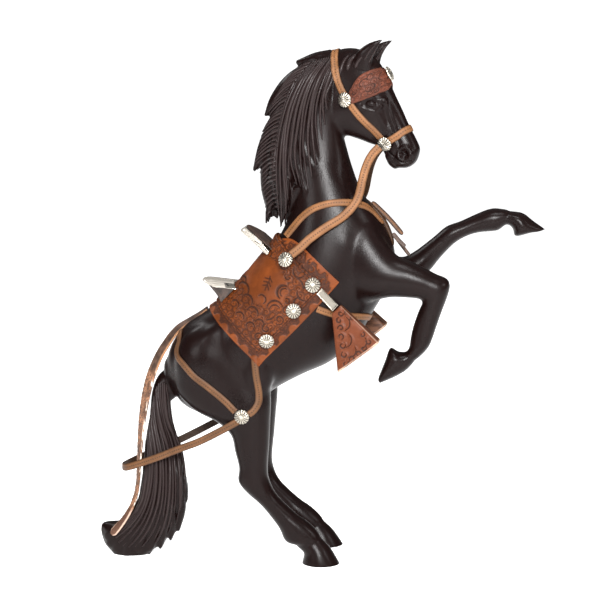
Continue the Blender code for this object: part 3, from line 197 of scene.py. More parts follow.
TAIL = (
    (-105.5, 151, -102.5, 129.5, 0, 8), (-119.5, 145, -113.5, 122, 0, 8.5),
    (-127, 139, -119, 117, -1, 8.2), (-131.5, 128, -121.5, 111, -2, 8), (-133, 113.5, -122, 101, -4, 8.2),
    (-134, 97, -119, 90, -6, 9), (-136.5, 80, -114, 77.5, -8, 9.5), (-138.5, 64.5, -108, 64.5, -10, 10),
    (-140.5, 50.5, -106.5, 51, -12, 10), (-142.5, 37, -108, 39, -14, 10),
    (-150.5, 27, -111, 28.5, -16, 9.5), (-169, 25.2, -116, 18, -17, 8.5),
    (-168.2, 11.6, -124, 9.5, -18, 8), (-161, 3, -134, 2, -19, 7), (-157, -2, -138, -2, -19, 6),
)
MANE = (
    (4, 386, 12.5, 364, 0, 9), (-5, 380.2, 6, 352, 0, 13), (-13.8, 370, 2, 345, 0, 15),
    (-22.3, 360, -3, 334, 0, 15.5), (-29.2, 348, -7, 321, 0, 16), (-33, 335, -9, 310, 0, 16.5),
    (-37, 322, -12, 305, 0, 17), (-39, 310, -14, 298, 0, 17.5), (-38.8, 299, -17, 289.5, 0, 18),
    (-37.6, 288, -19, 282, 0, 17.5), (-37, 277.5, -22, 274.5, 0, 16), (-35.5, 269, -26, 267, 0, 13),
)
LOWER_LIP = (
    (49, 311, 45, 307, 0, 5.5), (53, 304, 47.5, 302, 0, 5.8), (55, 300.5, 51.5, 298.8, 0, 4.5),
)
EAR = (
    (37, 370, 23, 375, -7.5, 4.2), (36.5, 377.5, 25.5, 383.5, -9, 4), (38.5, 384, 31, 388.5, -10.4, 3.2),
    (41.8, 389, 36.8, 391.5, -11.4, 2.2), (45.2, 392.6, 43.8, 393.4, -12, 0.7),
)

# Locks of carved hair in side view, root to tip: x, z, half width
MANE_LOCKS = (
    ((8, 381, 2.5), (5, 366, 3.2), (3, 350, 2.8), (2.5, 340, 0.8)),
    ((2, 378, 3), (-4, 358, 4), (-7.5, 335, 4), (-6, 315, 3.2), (-2, 303, 0.8)),
    ((-3, 375, 3), (-11, 354, 4), (-15.5, 331, 4), (-12, 312, 3.5), (-6, 301, 1)),
    ((-8, 373, 3), (-17, 350, 4), (-22, 327, 4), (-19, 307, 4), (-12, 286, 2.5), (-10.5, 278, 0.8)),
    ((-12, 371, 3), (-22, 347, 4.2), (-27.5, 323, 4.2), (-27, 304, 4), (-20, 287, 1)),
    ((-16, 368, 3), (-28, 344, 4.2), (-34, 319, 4.2), (-34, 300, 4), (-31, 280, 1.2)),
    ((-21, 365, 3), (-32, 341, 4), (-39, 315, 4.2), (-41, 292, 4), (-36, 266, 2.5), (-34.5, 260, 0.8)),
    ((-25, 292, 3), (-28, 272, 4), (-30.5, 255, 0.9)), ((-33, 306, 3.5), (-38, 280, 4), (-42.5, 257, 1)),
    ((-17, 285, 3), (-23, 269, 3.4), (-26, 259, 0.9)),
)
MANE_BACK_LOCKS = (
    ((6, 383, 3.5), (-6, 379, 5), (-20.8, 376.8, 1.2)),
    ((-6, 375, 5), (-23.2, 363.2, 6.3), (-35.2, 349, 5.3), (-43.8, 337, 1)),
    ((-15, 360, 6), (-31, 338, 7), (-43, 315, 6), (-52.5, 296, 1)),
    ((-28, 330, 6), (-38.5, 308, 6.8), (-42.3, 285, 4.9), (-40, 261, 1)),
)
TAIL_LOCKS = (
    ((-121, 128, 1.2), (-121, 114, 3.4), (-119.5, 99, 4), (-114.5, 77, 4.5), (-107, 55, 4),
     (-104, 43, 1.2)),
    ((-124, 130, 1.2), (-122, 114, 4), (-118.5, 92, 4.5), (-112, 66, 4.5), (-108, 40, 4),
     (-110, 20, 1.2)),
    ((-127, 124, 1.2), (-125.5, 106, 4), (-121.5, 80, 4.5), (-117, 50, 4.5), (-114, 27, 3.5),
     (-116, 12.5, 1)),
    ((-130, 115, 1.2), (-129.5, 95, 4.2), (-125, 69, 4.5), (-122, 42, 4.5), (-121, 21, 3.8),
     (-123.5, 6.5, 1)),
    ((-132, 105, 1.4), (-132.2, 84, 3.8), (-129.5, 57, 4.5), (-128.5, 34, 4.5), (-129, 14, 3.5),
     (-133, 1, 1)),
    ((-133.5, 88, 1.4), (-133.2, 72, 3.8), (-133.4, 46, 4.2), (-135, 27, 4.3), (-140, 6, 2)),
    ((-134.5, 72, 1.4), (-134.6, 61, 3.2), (-137, 39, 4), (-143.5, 19, 4.5), (-149, 2.5, 2.5)),
    ((-134, 60, 1.2), (-136.5, 50, 2.6), (-143, 31.5, 4), (-152, 15, 4.5), (-159, 3.5, 2.5)),
    ((-136, 50, 1.2), (-139, 44, 2.4), (-146.5, 31, 3.6), (-157, 18, 4), (-163.5, 8.5, 3)),
    ((-137.5, 42, 1.2), (-142, 35.5, 2.4), (-151, 26, 3.2), (-160, 19, 3.4), (-165.8, 14, 2.6)),
    ((-141, 37, 1.2), (-147.5, 28, 2.4), (-157.5, 22.5, 2.6), (-166.5, 21.2, 2)),
)

# The saddle's own frame: from a point in the barrel, S runs along the back towards the head and
# another way stands out from the back
BARREL = np.array([-21.3, 0.0, 193.0])
BACK_DIR = np.array([0.692, 0.0, 0.722])
OUT_DIR = np.array([-0.722, 0.0, 0.692])

# Where the pad, the seat and the two plates lie along S, how low the sheets hang at their sides, how
# far the pad's front edge is cut back at the top, and how the plates lean, rise and curl
PAD_REAR = -44.0
PAD_FRONT = 42.5
PAD_LOWEST = -10.5
BARREL_HALF = 33.0
NOTCH_HALF_ANGLE = math.radians(27)
PAD_NOTCH = 10.5
SEAT_REAR = -36.5
SEAT_FRONT = 31.5
SEAT_LOWEST = -3.5
POMMEL_S = 19.0
POMMEL_LEAN_DEG = -6.0
POMMEL_TALL = 23.0
POMMEL_HALF = 17.5
POMMEL_CURL = 2.0
POMMEL_FRONT = 2.4
CANTLE_S = -17.5
CANTLE_LEAN_DEG = -38.0
CANTLE_TALL = 25.0
CANTLE_HALF = 18.5
CANTLE_WEDGE_REAR = -33.0
CANTLE_WEDGE_UP = 0.96

# Where the straps run over the skin. A row is x and z of a point in the middle of the horse and the
# way out of it to the strap. Without a way it goes straight out. Rows are for the near half.
OUT = (0, -1, 0)
BREAST_ROUTE = (
    (-25.5, 249), (-19.5, 256.5), (-13, 264), (-6, 269.5), (1, 272.6), (9, 274.6, 0.05, -1, 0),
    (18, 274.6, 0.2, -1, 0), (22, 272.3, 0.6, -1, 0), (22, 268, 1.3, -1, 0.05), (22, 262, 2.4, -1, 0.1),
    (22, 258, 1, 0, 0.1),
)
GIRTH_ROUTE = (
    (-0.8, 197.4), (5.5, 195), (12, 193), (18, 192, 0.25, -1, -0.05), (17, 192, 0.9, -1, -0.15),
    (15, 192, 2.2, -1, -0.4), (14, 192, 1, 0, -0.22),
)
CROWN_ROUTE = (
    (9.5, 375, 0, 0, 1), (9.8, 374, 0, -0.6, 1), (10.5, 372, 0, -1, 0.5), (12.6, 366), (15.8, 357.5),
    (20, 350), (24.2, 343.3), (31, 334.5), (39, 326), (45.5, 318.8),
)
NOSEBAND_ROUTE = (
    (47.6, 318.4), (50.5, 320.5), (54, 322.5, 0.1, -1, 0.08), (55, 323.5, 0.6, -1, 0.4),
    (55, 323.5, 0.8, -0.4, 0.5), (55, 323.5, 0.8, 0, 0.5),
)
HAUNCH_REAR_ROUTE = (
    (-98, 169, -0.8, -0.55, 0.5), (-100, 166, -0.5, -1, 0.2), (-103.5, 160, -0.2, -1, 0), (-101.5, 153),
    (-92.9, 144.5), (-81.3, 136.1), (-70, 127.2), (-61.7, 119.1),
)
HAUNCH_FRONT_ROUTE = (
    (-47.6, 161), (-47, 154.5), (-46.2, 146.7), (-45.1, 139.2), (-44.6, 131.7), (-45, 125.6),
    (-48.1, 120.2), (-51.8, 117.2),
)
# Places of the near rein in side view, and how far from the middle it hangs: x, z, distance
REIN_ROUTE = (
    (43.3, 315.5, 15.5), (39, 311, 17), (35.6, 305.5, 18.5), (33, 298.7, 20), (31.2, 291.5, 21.5),
    (29.8, 284.3, 23), (28.2, 278.6, 24.5), (25.4, 273.6, 26), (21.2, 268.6, 27.5), (15.4, 263.6, 29.5),
    (5, 257.1, 32), (-6, 249.2, 34), (-13, 242.6, 35.5), (-19.5, 237.4, 36.5),
)
FAR_REIN_AHEAD = 0.4
# The rein follows the head's turn above this height
REIN_LEAVES_HEAD = 270
BROWBAND = (
    (21, 351.6), (26, 356.6), (33.6, 360.8, 0.1, -1, 0), (38, 362.5, 0.6, -1, 0.15),
    (36, 362.5, 1, -0.6, 0.3), (34, 362, 1, 0, 0.35),
)
BROWBAND_HALF = (4.4, 9.8, 10.8, 9.6, 7.8, 6.4)
# Where the crupper and the tail strap run: x, y, z and the way that they face
CRUPPER_PATH = (
    (-88.2, 0, 191, -0.56, -0.2, 0.81), (-95, 0, 186, -0.53, -0.3, 0.8),
    (-102.5, 0, 181.2, -0.5, -0.42, 0.75), (-109.5, -1, 176.6, -0.55, -0.55, 0.62),
    (-115.2, -1.5, 170.6, -0.6, -0.65, 0.48), (-120, -2, 163.8, -0.65, -0.7, 0.38),
    (-124.4, -2.5, 156.8, -0.68, -0.7, 0.3), (-128.8, -3, 147.5, -0.7, -0.7, 0.2),
    (-132.9, -4, 136, -0.72, -0.68, 0.12), (-136.4, -5, 120.5, -0.74, -0.66, 0.06),
    (-138.6, -6, 106, -0.77, -0.64, 0.02), (-139.8, -7, 92, -0.8, -0.6, 0),
    (-140.4, -9, 78, -0.85, -0.52, 0), (-140.8, -11, 64.5, -0.88, -0.47, 0),
    (-141.5, -13, 53.5, -0.88, -0.45, 0.08), (-143.2, -16, 44.5, -0.8, -0.55, 0.25),
    (-146, -20, 37, -0.7, -0.65, 0.4), (-150, -24, 30.5, -0.55, -0.75, 0.4),
    (-154.6, -26.5, 24.6, -0.45, -0.9, 0.3), (-159.2, -27, 19.2, -0.4, -0.93, 0.2),
)
TAIL_STRAP_PATH = (
    (-59, -35.2, 112.4, 0, -1, 0), (-72, -35, 104.8, 0, -1, 0), (-90, -34, 95.2, -0.05, -1, 0),
    (-105.7, -31.5, 88.6, -0.1, -1, 0), (-121.7, -28.5, 81.4, -0.12, -1, 0),
    (-137.9, -25.5, 74.8, -0.3, -1, 0), (-148.5, -20.5, 70.6, -0.8, -1, 0), (-153.6, -9, 68.8, -1, 0, 0),
    (-150, 2, 69.6, -0.8, 1, 0), (-141, 9.5, 73, -0.4, 1, 0), (-128, 14.5, 78, -0.25, 1, 0),
    (-108, 20.5, 87.2, -0.25, 1, 0), (-92, 27, 95, -0.3, 1, 0), (-76, 34, 103, -0.2, 1, 0),
    (-66, 36, 108.2, 0, 1, 0),
)
# Dark leather tab down the front of the chest
CHEST_TAB_ROUTE = (
    (22, 268, 1, 0, 0.3), (22, 260, 1, 0, 0.15), (22, 252, 1, 0, 0), (22, 245, 1, 0, -0.1),
)
# Thongs: the node that each stands for, its width, and places along it
THONG_PATHS = (
    ("chest_thong_long", 3.4, ((36.4, 0.5, 273.8), (48.6, 0.5, 262), (59.6, 0, 249.6))),
    ("chest_thong_near", 2.8, ((52.4, -4.5, 251), (56.8, -4.5, 245.8), (61.8, -5, 241))),
    ("chest_thong_far", 2.2, ((54.4, 4.5, 246.5), (58.6, 4.5, 241.2), (64.5, 5, 233.5))),
)

# Carved arcs: centre, radius, start angle and sweep in degrees, half width, and the share of its
# radius that an arc loses as it curls in. Those of the saddle are drawn by S and by how far out from
# the back they lie, and those of the browband by how far they lie from its end and its middle line
SEAT_ARCS = (
    (9.1, 13.2, 5.2, 25, 160, 0.9, 0), (9.3, 12.9, 3.2, 15, 170, 0.5, 0),
    (-4.2, 9.8, 6, -25, 150, 0.65, 0), (-4.8, 9.3, 3.8, -15, 140, 0.5, 0),
    (6.3, 7.5, 2.2, 75, -300, 0.55, 0.5), (-7.5, 2.5, 3.8, -165, 400, 0.55, 0.75),
    (-9, 12.5, 6, -145, 80, 0.6, 0), (-19.2, 4.8, 3.4, 45, 380, 0.55, 0.7),
    (-13.4, 36, 4.9, -85, 190, 0.65, 0), (-9.1, 41.1, 2.6, -105, 300, 0.55, 0.5),
    (-16.1, 28.2, 4.5, -75, 180, 0.65, 0), (-18.9, 19.4, 4.5, -75, 180, 0.65, 0),
    (-20.7, 10.6, 3.8, -75, 190, 0.65, 0.2), (28.2, 16, 4.5, 95, 200, 0.65, 0),
    (33, 16.5, 2.4, -45, 330, 0.55, 0.5), (16.5, 11, 7.5, -55, 80, 0.65, 0),
    (19.5, 2.6, 5.2, 115, 120, 0.65, 0), (11.5, 0.2, 4.5, 35, 170, 0.65, 0.2),
    (26.5, 6.2, 3.8, 155, 150, 0.65, 0), (-6.7, 21.8, 3.8, -105, 200, 0.55, 0.3),
    (-27, 14, 3.6, -60, 210, 0.6, 0.3), (-28, 24, 3.4, -75, 190, 0.6, 0),
    (-25, 33, 3.6, -80, 200, 0.6, 0.3), (-28, 4.5, 3.2, -20, 300, 0.55, 0.6),
    (24, 27, 4.2, 90, 190, 0.6, 0.2), (19.5, 19, 3, 60, 240, 0.5, 0.5),
    (1.2, 3.2, 3.2, 10, 200, 0.55, 0.4), (26, -0.4, 3, 70, 260, 0.5, 0.6),
)
# Shallow strokes of a small sprig on the seat
SPRIG = (4.5, 26.3)
SPRIG_STROKES = (
    ((-4.6, -2), (-1.5, -0.6), (2, 0.4), (5, 2.2)), ((-3.6, 1.6), (-2.4, 0.6), (-1.2, -0.5)),
    ((-1.2, 3), (0, 1.6), (1, 0.2)), ((1.4, 4), (2.4, 2.6), (3.2, 1.2)),
    ((-2.6, -3.8), (-1.6, -2.4), (-0.8, -0.8)), ((0.4, -3), (1, -1.6), (1.8, 0)),
    ((3.2, -1.8), (3.6, -0.4), (4.2, 1.2)),
)
PAD_ARCS = (
    (37, 2.9, 4.6, 65, 170, 0.6, 0), (35.5, -5.5, 3.2, 75, 200, 0.55, 0.3),
    (38.5, 13, 4.2, 55, 180, 0.6, 0.2), (37, 22.5, 4, 55, 200, 0.6, 0.2),
    (36.5, 32, 3.8, 60, 200, 0.6, 0.3), (36.2, 41, 3.6, 60, 200, 0.6, 0.3),
)
BROW_ARCS = (
    (12, 2.5, 3.6, 20, 240, 0.5, 0.5), (19, -2.5, 3.8, 200, 260, 0.5, 0.5),
    (26.5, 2.8, 3.6, 30, 250, 0.5, 0.5), (33.5, -2, 3.4, 210, 250, 0.5, 0.5),
    (16, 6, 2.2, 0, 200, 0.4, 0.3), (24, -6.4, 2.2, 170, 200, 0.4, 0.3), (31, 5, 2, 20, 200, 0.4, 0.3),
    (7.5, -1.5, 2.4, 150, 220, 0.45, 0.4),
)
# On a stirrup's outer face, in side view
STIRRUP_ARCS = (
    (17.8, 196, 2, 0, -300, 0.5, 0.5), (16.6, 191, 2, 97, 300, 0.5, 0.5),
    (17.8, 185.6, 2.1, 194, -300, 0.5, 0.5), (18, 179.4, 2.2, 291, 300, 0.5, 0.5),
    (19.4, 173, 2.3, 28, -300, 0.5, 0.5), (20.8, 166.4, 2.3, 125, 300, 0.5, 0.5),
    (22, 160, 2.3, 40, -300, 0.5, 0.5), (26.6, 163.6, 2.2, 222, -300, 0.5, 0.5),
    (31, 167.4, 2.2, 319, 300, 0.5, 0.5), (35, 171.6, 2.2, 56, -300, 0.5, 0.5),
    (38.6, 176.4, 2.1, 153, 300, 0.5, 0.5), (22.4, 196.8, 1.8, 250, -300, 0.45, 0.5),
    (26, 192.6, 1.6, 347, 300, 0.45, 0.5), (34, 181.4, 1.8, 84, -300, 0.45, 0.5),
    (19.2, 189, 5.4, -70, 130, 0.4, 0), (20.4, 177, 5.6, -70, 120, 0.4, 0),
    (24.4, 169.6, 5, -100, 130, 0.4, 0), (32, 176, 5, -80, 120, 0.4, 0),
)


# Turns a row of the near side into one of the far side
FLIPPED = np.array([1, -1, 1, 1, -1, 1])


def near_rows(drawn):
    """Rows of a route as x, y, z and its way out."""
    return np.array([(x, 0, z, *(way or OUT)) for x, z, *way in drawn], float)


def both_halves(drawn):
    """Rows of a near half that ends on the middle, with the far half added."""
    near = near_rows(drawn)
    return np.vstack([near, near[-2::-1] * FLIPPED])


def of_side(drawn, side):
    """Rows drawn for the near side, for the side -1 (near) or +1 (far)."""
    return near_rows(drawn) * (FLIPPED if side > 0 else 1)


def unit(v):
    """The vectors at length one."""
    v = np.asarray(v, float)
    return v / np.maximum(np.linalg.norm(v, axis=-1, keepdims=True), 1e-9)


def spline(rows, per_span):
    """Catmull-Rom curve through the rows, with per_span steps between neighbours."""
    p = np.asarray(rows, float)
    p = np.vstack([2 * p[0] - p[1], p, 2 * p[-1] - p[-2]])
    t = np.linspace(0, 1, per_span, endpoint=False)[:, None]
    out = []
    for a, b, c, d in zip(p[:-3], p[1:-2], p[2:-1], p[3:]):
        square = (2 * a - 5 * b + 4 * c - d) * t**2
        cube = (3 * b - a - 3 * c + d) * t**3
        out.append(0.5 * (2 * b + (c - a) * t + square + cube))
    return np.vstack([*out, p[-2:-1]])


def lengths(points):
    """How far along the line each point lies."""
    steps = np.linalg.norm(np.diff(points, axis=0), axis=1)
    return np.concatenate([[0.0], np.cumsum(steps)])


def evenly(points, count):
    """The same line with its points evenly spaced."""
    far = lengths(points)
    at = np.linspace(0, far[-1], count)
    return np.stack([np.interp(at, far, points[:, k]) for k in range(points.shape[1])], axis=1)


def curve(points, count, per_span=6):
    """Points evenly spaced on a smooth curve through a few points."""
    return evenly(spline(points, per_span), count)


def eased(values, times, axis=0):
    """Values averaged with their neighbours along an axis, times over. The ends stay."""
    v = np.moveaxis(np.array(values, float), axis, 0)
    for _ in range(times):
        v[1:-1] = 0.25 * v[:-2] + 0.5 * v[1:-1] + 0.25 * v[2:]
    return np.moveaxis(v, 0, axis)


def eased_sheet(values, along, across):
    """The values of a grid, eased so many times along it and then across it."""
    return eased(eased(values, along, axis=0), across, axis=1)


def bell(distance, width):
    """One at no distance, falling off smoothly over the width."""
    return np.exp(-((np.asarray(distance) / width) ** 2))


def step(value, low, high):
    """Nought below low and one above high, with a smooth rise between them."""
    t = np.clip((np.asarray(value) - low) / (high - low), 0, 1)
    return t * t * (3 - 2 * t)


class Shell:
    """A closed skin: its points, its faces, and a number at each point for every mark.

    The faces are turned so that the volume that they close comes out positive.
    """

    def __init__(self, points, quads=(), tris=(), **marks):
        self.points = np.asarray(points, float)
        self.quads = np.asarray(quads, int).reshape(-1, 4)
        self.tris = np.asarray(tris, int).reshape(-1, 3)
        self.marks = {name: np.asarray(values, float).ravel() for name, values in marks.items()}
        a, b, c, d = (self.points[self.quads[:, k]] for k in range(4))
        e, f, g = (self.points[self.tris[:, k]] for k in range(3))
        volume = np.sum(a * np.cross(b, c)) + np.sum(a * np.cross(c, d)) + np.sum(e * np.cross(f, g))
        if volume < 0:
            self.quads = self.quads[:, ::-1]
            self.tris = self.tris[:, ::-1]

    def moved(self, points):
        """The same faces on other points."""
        return Shell(points, self.quads, self.tris, **self.marks)

    def mirrored(self):
        return self.moved(self.points * (1, -1, 1))


def joined(shells):
    """Several skins as one."""
    starts = np.cumsum([0, *(len(shell.points) for shell in shells)])
    names = sorted({name for shell in shells for name in shell.marks})
    together = Shell(np.vstack([shell.points for shell in shells]))
    together.quads = np.vstack([shell.quads + start for shell, start in zip(shells, starts)])
    together.tris = np.vstack([shell.tris + start for shell, start in zip(shells, starts)])
    for name in names:
        values = [shell.marks.get(name, np.zeros(len(shell.points))) for shell in shells]
        together.marks[name] = np.concatenate(values)
    return together


def tube(rings, **marks):
    """Skin over rings of points, an array of rows by points round, closed by a point at each end."""
    rows, around = rings.shape[:2]
    i, j = np.meshgrid(np.arange(rows - 1) * around, np.arange(around), indexing="ij")
    k = (j + 1) % around
    quads = np.stack([i + j, i + k, i + around + k, i + around + j], axis=-1)
    j, k = np.arange(around), (np.arange(around) + 1) % around
    last = (rows - 1) * around
    first_fan = np.stack([0 * j + rows * around, k, j], axis=1)
    last_fan = np.stack([last + j, last + k, 0 * j + rows * around + 1], axis=1)
    points = np.vstack([rings.reshape(-1, 3), rings[0].mean(axis=0), rings[-1].mean(axis=0)])
    ends = {n: np.append(m, [np.mean(m[0]), np.mean(m[-1])]) for n, m in marks.items()}
    return Shell(points, quads, np.vstack([first_fan, last_fan]), **ends)


def loft(stations, around=36, squareness=1.0, cap=0.35, swell=0.0):
    """Skin through oval sections: x z of one edge, x z of the other, y of the middle, half width.

    A point of a section is its centre plus cos(a) towards the first edge plus sin(a) sideways,
    both raised to the power squareness. The ends are rounded over cap times half the section's depth.
    """
    s = spline(stations, 8)
    centre = np.stack([(s[:, 0] + s[:, 2]) / 2, s[:, 4], (s[:, 1] + s[:, 3]) / 2], axis=1)
    deep = np.stack([(s[:, 0] - s[:, 2]) / 2, 0 * s[:, 0], (s[:, 1] - s[:, 3]) / 2], axis=1)
    deep += unit(deep) * swell
    wide = np.maximum(s[:, 5] + swell, 0.2)
    angle = np.linspace(0, 2 * math.pi, around, endpoint=False)
    c = np.sign(np.cos(angle)) * np.abs(np.cos(angle)) ** squareness
    d = np.sign(np.sin(angle)) * np.abs(np.sin(angle)) ** squareness
    rings = centre[:, None] + deep[:, None] * c[None, :, None]
    rings[..., 1] += wide[:, None] * d
    shares = np.array([0.45, 0.8, 0.97])
    first, last = [], []
    for i, j, ends in ((0, 1, first), (-1, -2, last)):
        along = unit(centre[i] - centre[j]) * cap * np.linalg.norm(deep[i])
        for share in shares:
            shrunk = centre[i] + (rings[i] - centre[i]) * math.sqrt(1 - share**2)
            ends.append(shrunk + along * share)
    return tube(np.stack([*reversed(first), *rings, *last]))


def oval(centre, radii, lean_deg=0.0, around=24, rows=13):
    """Oval ball. Its long side is turned in side view by lean_deg."""
    lat = np.linspace(-math.pi / 2, math.pi / 2, rows + 2)[1:-1, None]
    lon = np.linspace(0, 2 * math.pi, around, endpoint=False)
    ring = np.cos(lat)
    ball = np.stack([np.sin(lat) + 0 * lon, ring * np.cos(lon), ring * np.sin(lon)], axis=-1) * radii
    a = math.radians(lean_deg)
    x = ball[..., 0] * math.cos(a) - ball[..., 2] * math.sin(a)
    z = ball[..., 0] * math.sin(a) + ball[..., 2] * math.cos(a)
    return tube(np.stack([x, ball[..., 1], z], axis=-1) + np.asarray(centre))


def rods(lines, halves, deep, ways, around=8):
    """Tapered rods along lines, arrays of rods by places by three, as one skin.

    A section is cos(a) times the half width sideways plus sin(a) times deep of it along the way out.
    Their one mark is one along the outer ridge, where the wood is made paler: partly wear, partly a painted
    highlight.
    """
    along = unit(np.gradient(lines, axis=1))
    side = unit(np.cross(along, ways))
    out = unit(np.cross(side, along))
    angle = np.linspace(0, 2 * math.pi, around, endpoint=False)
    c, d = np.cos(angle)[:, None], np.sin(angle)[:, None] * deep
    rings = lines[:, :, None] + halves[:, :, None, None] * (side[:, :, None] * c + out[:, :, None] * d)
    rubbed = np.broadcast_to(np.maximum(np.sin(angle), 0) ** 3, rings.shape[1:3])
    return joined([tube(r, rubbed=rubbed) for r in rings])


def mesh_of(name, shell, scale=1.0, origin=0.0):
    """Blender mesh of a skin."""
    mesh = bpy.data.meshes.new(name)
    corners = np.concatenate([shell.quads.ravel(), shell.tris.ravel()])
    quads, tris = len(shell.quads), len(shell.tris)
    starts = np.concatenate([np.arange(quads) * 4, quads * 4 + np.arange(tris) * 3])
    mesh.vertices.add(len(shell.points))
    mesh.vertices.foreach_set("co", (origin + shell.points * scale).ravel())
    mesh.loops.add(len(corners))
    mesh.loops.foreach_set("vertex_index", corners)
    mesh.polygons.add(len(starts))
    mesh.polygons.foreach_set("loop_start", starts)
    mesh.update(calc_edges=True)
    for word, values in shell.marks.items():
        mesh.attributes.new(word, "FLOAT", "POINT").data.foreach_set("value", values)
    return mesh


def linked(obj):
    """The object, put into the scene."""
    bpy.context.scene.collection.objects.link(obj)
    return obj


def worked(shell, *tools):
    """The skin after modifiers. Each is a kind and its settings."""
    obj = linked(bpy.data.objects.new("worked", mesh_of("worked", shell)))
    for kind, settings in tools:
        tool = obj.modifiers.new(kind, kind)
        for key, value in settings.items():
            setattr(tool, key, value)
    graph = bpy.context.evaluated_depsgraph_get()
    mesh = bpy.data.meshes.new_from_object(obj.evaluated_get(graph))
    bpy.data.objects.remove(obj)
    points = np.zeros(len(mesh.vertices) * 3)
    mesh.vertices.foreach_get("co", points)
    corners = np.zeros(len(mesh.loops), int)
    mesh.loops.foreach_get("vertex_index", corners)
    starts = np.zeros(len(mesh.polygons), int)
    mesh.polygons.foreach_get("loop_start", starts)
    sides = np.diff(np.append(starts, len(corners)))
    quads = corners[starts[sides == 4][:, None] + np.arange(4)]
    tris = corners[starts[sides == 3][:, None] + np.arange(3)]
    bpy.data.meshes.remove(mesh)
    return Shell(points.reshape(-1, 3), quads, tris)


def fused(shells, grid, ease):
    """Overlapping skins run together as one, worked out on a grid and eased over a distance."""
    times = max(1, round((ease / grid) ** 2))
    remesh = ("REMESH", {"mode": "VOXEL", "voxel_size": grid})
    ease_over = ("SMOOTH", {"factor": 0.5, "iterations": times})
    return largest(worked(joined(shells), remesh, ease_over))


def largest(shell):
    """The skin with the most points, without the closed pockets inside it."""
    ends = np.vstack([shell.quads[:, [k, (k + 1) % 4]] for k in range(4)])
    label = np.arange(len(shell.points))
    while True:
        low = label.copy()
        np.minimum.at(low, ends[:, 0], label[ends[:, 1]])
        np.minimum.at(low, ends[:, 1], label[ends[:, 0]])
        low = low[low]
        if np.array_equal(low, label):
            break
        label = low
    kept = label == np.bincount(label).argmax()
    index = np.cumsum(kept) - 1
    return Shell(shell.points[kept], index[shell.quads[kept[shell.quads[:, 0]]]])


def normals_of(shell):
    """The way out of the skin at each point."""
    p, q, t = shell.points, shell.quads, shell.tris
    over_quads = np.cross(p[q[:, 2]] - p[q[:, 0]], p[q[:, 3]] - p[q[:, 1]])
    over_tris = np.cross(p[t[:, 1]] - p[t[:, 0]], p[t[:, 2]] - p[t[:, 0]])
    out = np.zeros_like(p)
    for faces, across in ((q, over_quads), (t, over_tris)):
        for k in range(faces.shape[1]):
            for axis in range(3):
                out[:, axis] += np.bincount(faces[:, k], across[:, axis], len(p))
    return unit(out)


def distance_to(points, line, halves=None):
    """How far each point is from a line of points, in half widths of the line where they are given."""
    best = np.full(len(points), np.inf)
    for a, b, half in zip(line[:-1], line[1:], np.ones(len(line)) if halves is None else halves):
        run = b - a
        t = np.clip((points - a) @ run / max(run @ run, 1e-9), 0, 1)
        best = np.minimum(best, np.linalg.norm(points - a - t[:, None] * run, axis=1) / half)
    return best


class Rest:
    """Finished skins that hair or tack rests on."""

    def __init__(self, *shells):
        self.trees = []
        for shell in shells:
            self.add(shell)

    def add(self, shell):
        faces = [*shell.quads.tolist(), *shell.tris.tolist()]
        self.trees.append(BVHTree.FromPolygons(shell.points.tolist(), faces))

    def height(self, origin, way, reach=65.0):
        """How far along the way from origin the outermost skin lies, or nan."""
        o, d = Vector(origin), Vector(way).normalized()
        far = [tree.ray_cast(o + d * reach, -d, reach * 1.2)[3] for tree in self.trees]
        return max((reach - f for f in far if f is not None), default=math.nan)

    def heights(self, origins, ways, reach=65.0):
        """height for an array of places, each with its way."""
        origins = np.asarray(origins, float)
        ways = np.broadcast_to(ways, origins.shape)
        found = [self.height(o, w, reach) for o, w in zip(origins.reshape(-1, 3), ways.reshape(-1, 3))]
        return np.array(found).reshape(origins.shape[:-1])


def filled(values):
    """The row of values, with its gaps bridged from their neighbours."""
    known = np.flatnonzero(~np.isnan(values))
    if len(known) == 0:
        return np.zeros(len(values))
    return np.interp(np.arange(len(values)), known, values[known])


rest = Rest()


def turned(points):
    """Points of the head, moved ahead and turned about the upright line through the poll."""
    a = math.radians(HEAD_TURN_DEG)
    pivot = np.array([POLL[0], 0, 0])
    q = np.array(points, float) - pivot
    q[..., 0] += HEAD_SHIFT * np.clip(q[..., 0] / HEAD_SHIFT_OVER, 0, 1)
    x = q[..., 0] * math.cos(a) + q[..., 1] * math.sin(a)
    y = q[..., 1] * math.cos(a) - q[..., 0] * math.sin(a)
    return np.stack([x, y, q[..., 2]], axis=-1) + pivot


def piece(name, parts, finish, nodes):
    """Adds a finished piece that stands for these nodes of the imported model, and gives back its skin."""
    shell = joined(parts)
    obj = linked(bpy.data.objects.new(name, mesh_of(name, shell, UNIT, ORIGIN)))
    obj.data.materials.append(finish)
    obj.data.shade_smooth()
    obj.data.set_sharp_from_angle(angle=SHARP_EDGE)
    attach(obj, "root")
    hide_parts(*nodes)
    return shell


def add_piece(name, parts, finish, nodes):
    """Adds a finished piece that later pieces can rest on."""
    rest.add(piece(name, parts, finish, nodes))


